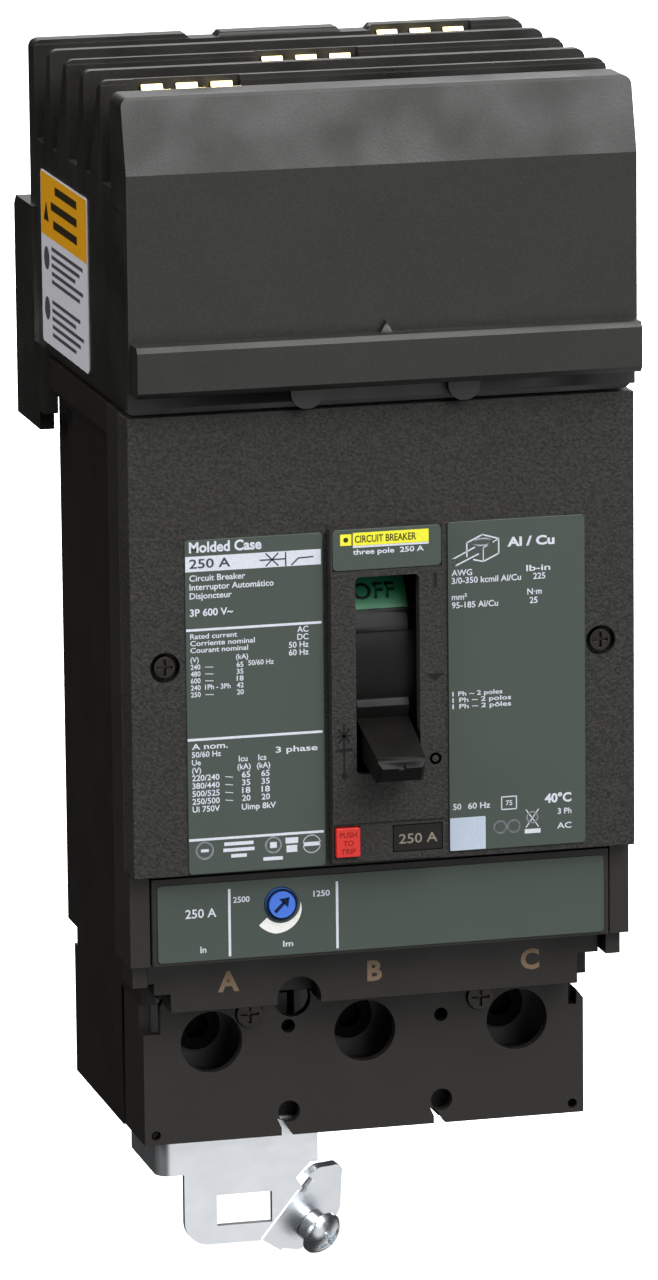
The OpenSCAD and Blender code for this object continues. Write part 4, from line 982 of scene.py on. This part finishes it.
class BREAKER_OT_inside(bpy.types.Operator):
    """Gives the contacts, mechanism and arc chutes inside their surfaces"""

    bl_idname = "breaker.inside"
    bl_label = "Inner parts"

    def execute(self, context):
        dress(["line_straps", "load_straps", "contact_bars"], copper_strap())
        dress(["fixed_contacts"], contact_silver())
        dress(["arc_chutes_line", "arc_chutes_load", "magnet_yokes"], nickel_sheet())
        dress(["jaw_springs", "main_springs", "trip_button_spring", "latch", "handle_pivot"],
              drawn_steel())
        dress(["handle_yoke", "rotor_rods", "drive_links", "mechanism_plates"],
              bpy.data.materials["zinc_plated_sheet"])
        dress(["bimetals"], bimetal_strip())
        dress(["rotor_drums"], rotor_thermoset())
        dress(["trip_bar"], tan_polyester())
        return {"FINISHED"}


# Soft cards round the object: direction, cosines of the faded and the full edge, brightness.
# The last one is a black flag.
CARDS = (((0.24, -0.95, -0.21), 0.86, 0.97, 0.9),
         ((0.24, -0.87, 0.43), 0.93, 0.99, 2.0),
         ((0.22, -0.3, 0.93), 0.84, 0.94, 3.0),
         ((0.34, 0.91, 0.24), 0.9, 0.98, 0.5),
         ((0.76, 0.15, -0.63), 0.7, 0.93, 0.75),
         ((-0.24, 0.95, -0.21), 0.84, 0.96, -0.04))


class BREAKER_OT_stage(bpy.types.Operator):
    """Sets up the pale floor, the soft lights and the camera"""

    bl_idname = "breaker.stage"
    bl_label = "Studio"

    def execute(self, context):
        self.floor()
        self.lights(context.scene)
        self.camera(context.scene)
        context.scene.view_settings.view_transform = "Standard"
        return {"FINISHED"}

    def floor(self):
        """Large matt floor. It stays out of reflections, so that black plastic stays black."""
        bm = bmesh.new()
        level = Matrix.Translation((0, 0, CAD_BOX[0].z - FLOOR_GAP))
        bmesh.ops.create_grid(bm, x_segments=1, y_segments=1, size=FLOOR_HALF, matrix=level)
        mesh = bpy.data.meshes.new("floor")
        bm.to_mesh(mesh)
        bm.free()
        floor = bpy.data.objects.new("floor", mesh)
        bpy.context.scene.collection.objects.link(floor)
        material, tree, shader = start("painted_floor", {
            "Roughness": 0.9, "Specular IOR Level": 0.1, "Emission Color": (1.0, 1.0, 1.0, 1.0),
            "Emission Strength": settings().stage.floor_glow})
        vary_colour(tree, shader, linear("f7f7f5"), spread(tree, noise(tree, 400.0), 0.99, 1.0))
        mesh.materials.append(material)
        floor.visible_glossy = False
        floor.visible_diffuse = False

    def lights(self, scene):
        """Four softboxes, a broad light from above, and a dim room with soft cards to reflect."""
        stage = settings().stage
        for name, place, size, power in SOFTBOXES:
            self.softbox(name, place, size, getattr(stage, power))
        sun = bpy.data.lights.new("overhead", "SUN")
        sun.energy = stage.overhead
        sun.angle = math.radians(SUN_SPREAD)
        scene.collection.objects.link(bpy.data.objects.new("overhead", sun))
        world = bpy.data.worlds.new("studio")
        scene.world = world
        world.use_nodes = True
        tree = world.node_tree
        tree.nodes.clear()
        where = add(tree, "ShaderNodeTexCoord")
        level = None
        for aim, edge, full, strength in CARDS:
            facing = add(tree, "ShaderNodeVectorMath", {"operation": "DOT_PRODUCT", 1: aim},
                         {0: where.outputs["Generated"]})
            card = add(tree, "ShaderNodeMapRange",
                       {"interpolation_type": "SMOOTHSTEP", "From Min": edge, "From Max": full,
                        "To Min": 0.0, "To Max": strength}, {"Value": facing.outputs["Value"]})
            total = add(tree, "ShaderNodeMath", {"operation": "ADD", 0: stage.room},
                        {1: card.outputs["Result"]})
            if level:
                tree.links.new(level, total.inputs[0])
            level = total.outputs["Value"]
        room = add(tree, "ShaderNodeBackground", {"Color": (1.0, 1.0, 1.0, 1.0)},
                   {"Strength": level})
        add(tree, "ShaderNodeOutputWorld", links={"Surface": room.outputs["Background"]})

    def softbox(self, name, place, size, power):
        light = bpy.data.lights.new(name, "AREA")
        light.shape = "RECTANGLE"
        light.size, light.size_y = size
        light.energy = power
        holder = bpy.data.objects.new(name, light)
        holder.location = place
        aim = Vector(LIGHT_AIM) - Vector(place)
        holder.rotation_euler = aim.to_track_quat("-Z", "Y").to_euler()
        bpy.context.scene.collection.objects.link(holder)

    def camera(self, scene):
        stage = settings().stage
        a, e = stage.azimuth, stage.elevation
        back = Vector((math.sin(a) * math.cos(e), -math.cos(a) * math.cos(e), math.sin(e)))
        right = Vector((0, 0, 1)).cross(back).normalized()
        up = back.cross(right)
        c, s = math.cos(stage.roll), math.sin(stage.roll)
        turn = Matrix((c * right + s * up, c * up - s * right, back)).transposed()
        front = -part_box("accessory_cover")[0].y
        target = Vector((CAMERA_AIM_X, -front, CAMERA_AIM_Z))
        data = bpy.data.cameras.new("camera")
        data.lens = stage.focal
        data.sensor_width = 36.0
        data.clip_end = 100.0
        camera = bpy.data.objects.new("camera", data)
        camera.matrix_world = Matrix.Translation(target + back * stage.distance) @ turn.to_4x4()
        scene.collection.objects.link(camera)
        scene.camera = camera


class BREAKER_PT_panel(bpy.types.Panel):
    """Lists the breaker's settings and steps"""

    bl_label = "Circuit breaker"
    bl_idname = "BREAKER_PT_panel"
    bl_space_type = "VIEW_3D"
    bl_region_type = "UI"
    bl_category = "Breaker"

    def draw(self, context):
        for group in (settings().colours, settings().sizes, settings().stage):
            box = self.layout.box()
            for name in group.__annotations__:
                box.prop(group, name)
        for step in STEPS:
            self.layout.operator(step.bl_idname)


class BreakerSettings(bpy.types.PropertyGroup):
    """All settings of the breaker."""

    colours: PointerProperty(type=BreakerColours)
    sizes: PointerProperty(type=BreakerSizes)
    stage: PointerProperty(type=BreakerStage)


STEPS = (BREAKER_OT_shells, BREAKER_OT_controls, BREAKER_OT_plates, BREAKER_OT_left_print,
         BREAKER_OT_right_print, BREAKER_OT_front_print, BREAKER_OT_side_print, BREAKER_OT_hardware,
         BREAKER_OT_inside, BREAKER_OT_stage)
CLASSES = (BreakerColours, BreakerSizes, BreakerStage, BreakerSettings, *STEPS, BREAKER_PT_panel)


def register():
    for cls in CLASSES:
        bpy.utils.register_class(cls)
    bpy.types.Scene.breaker = PointerProperty(type=BreakerSettings)


def unregister():
    del bpy.types.Scene.breaker
    for cls in reversed(CLASSES):
        bpy.utils.unregister_class(cls)


def main():
    register()
    for step in STEPS:
        group, name = step.bl_idname.split(".")
        getattr(getattr(bpy.ops, group), name)()


if __name__ == "__main__":
    main()
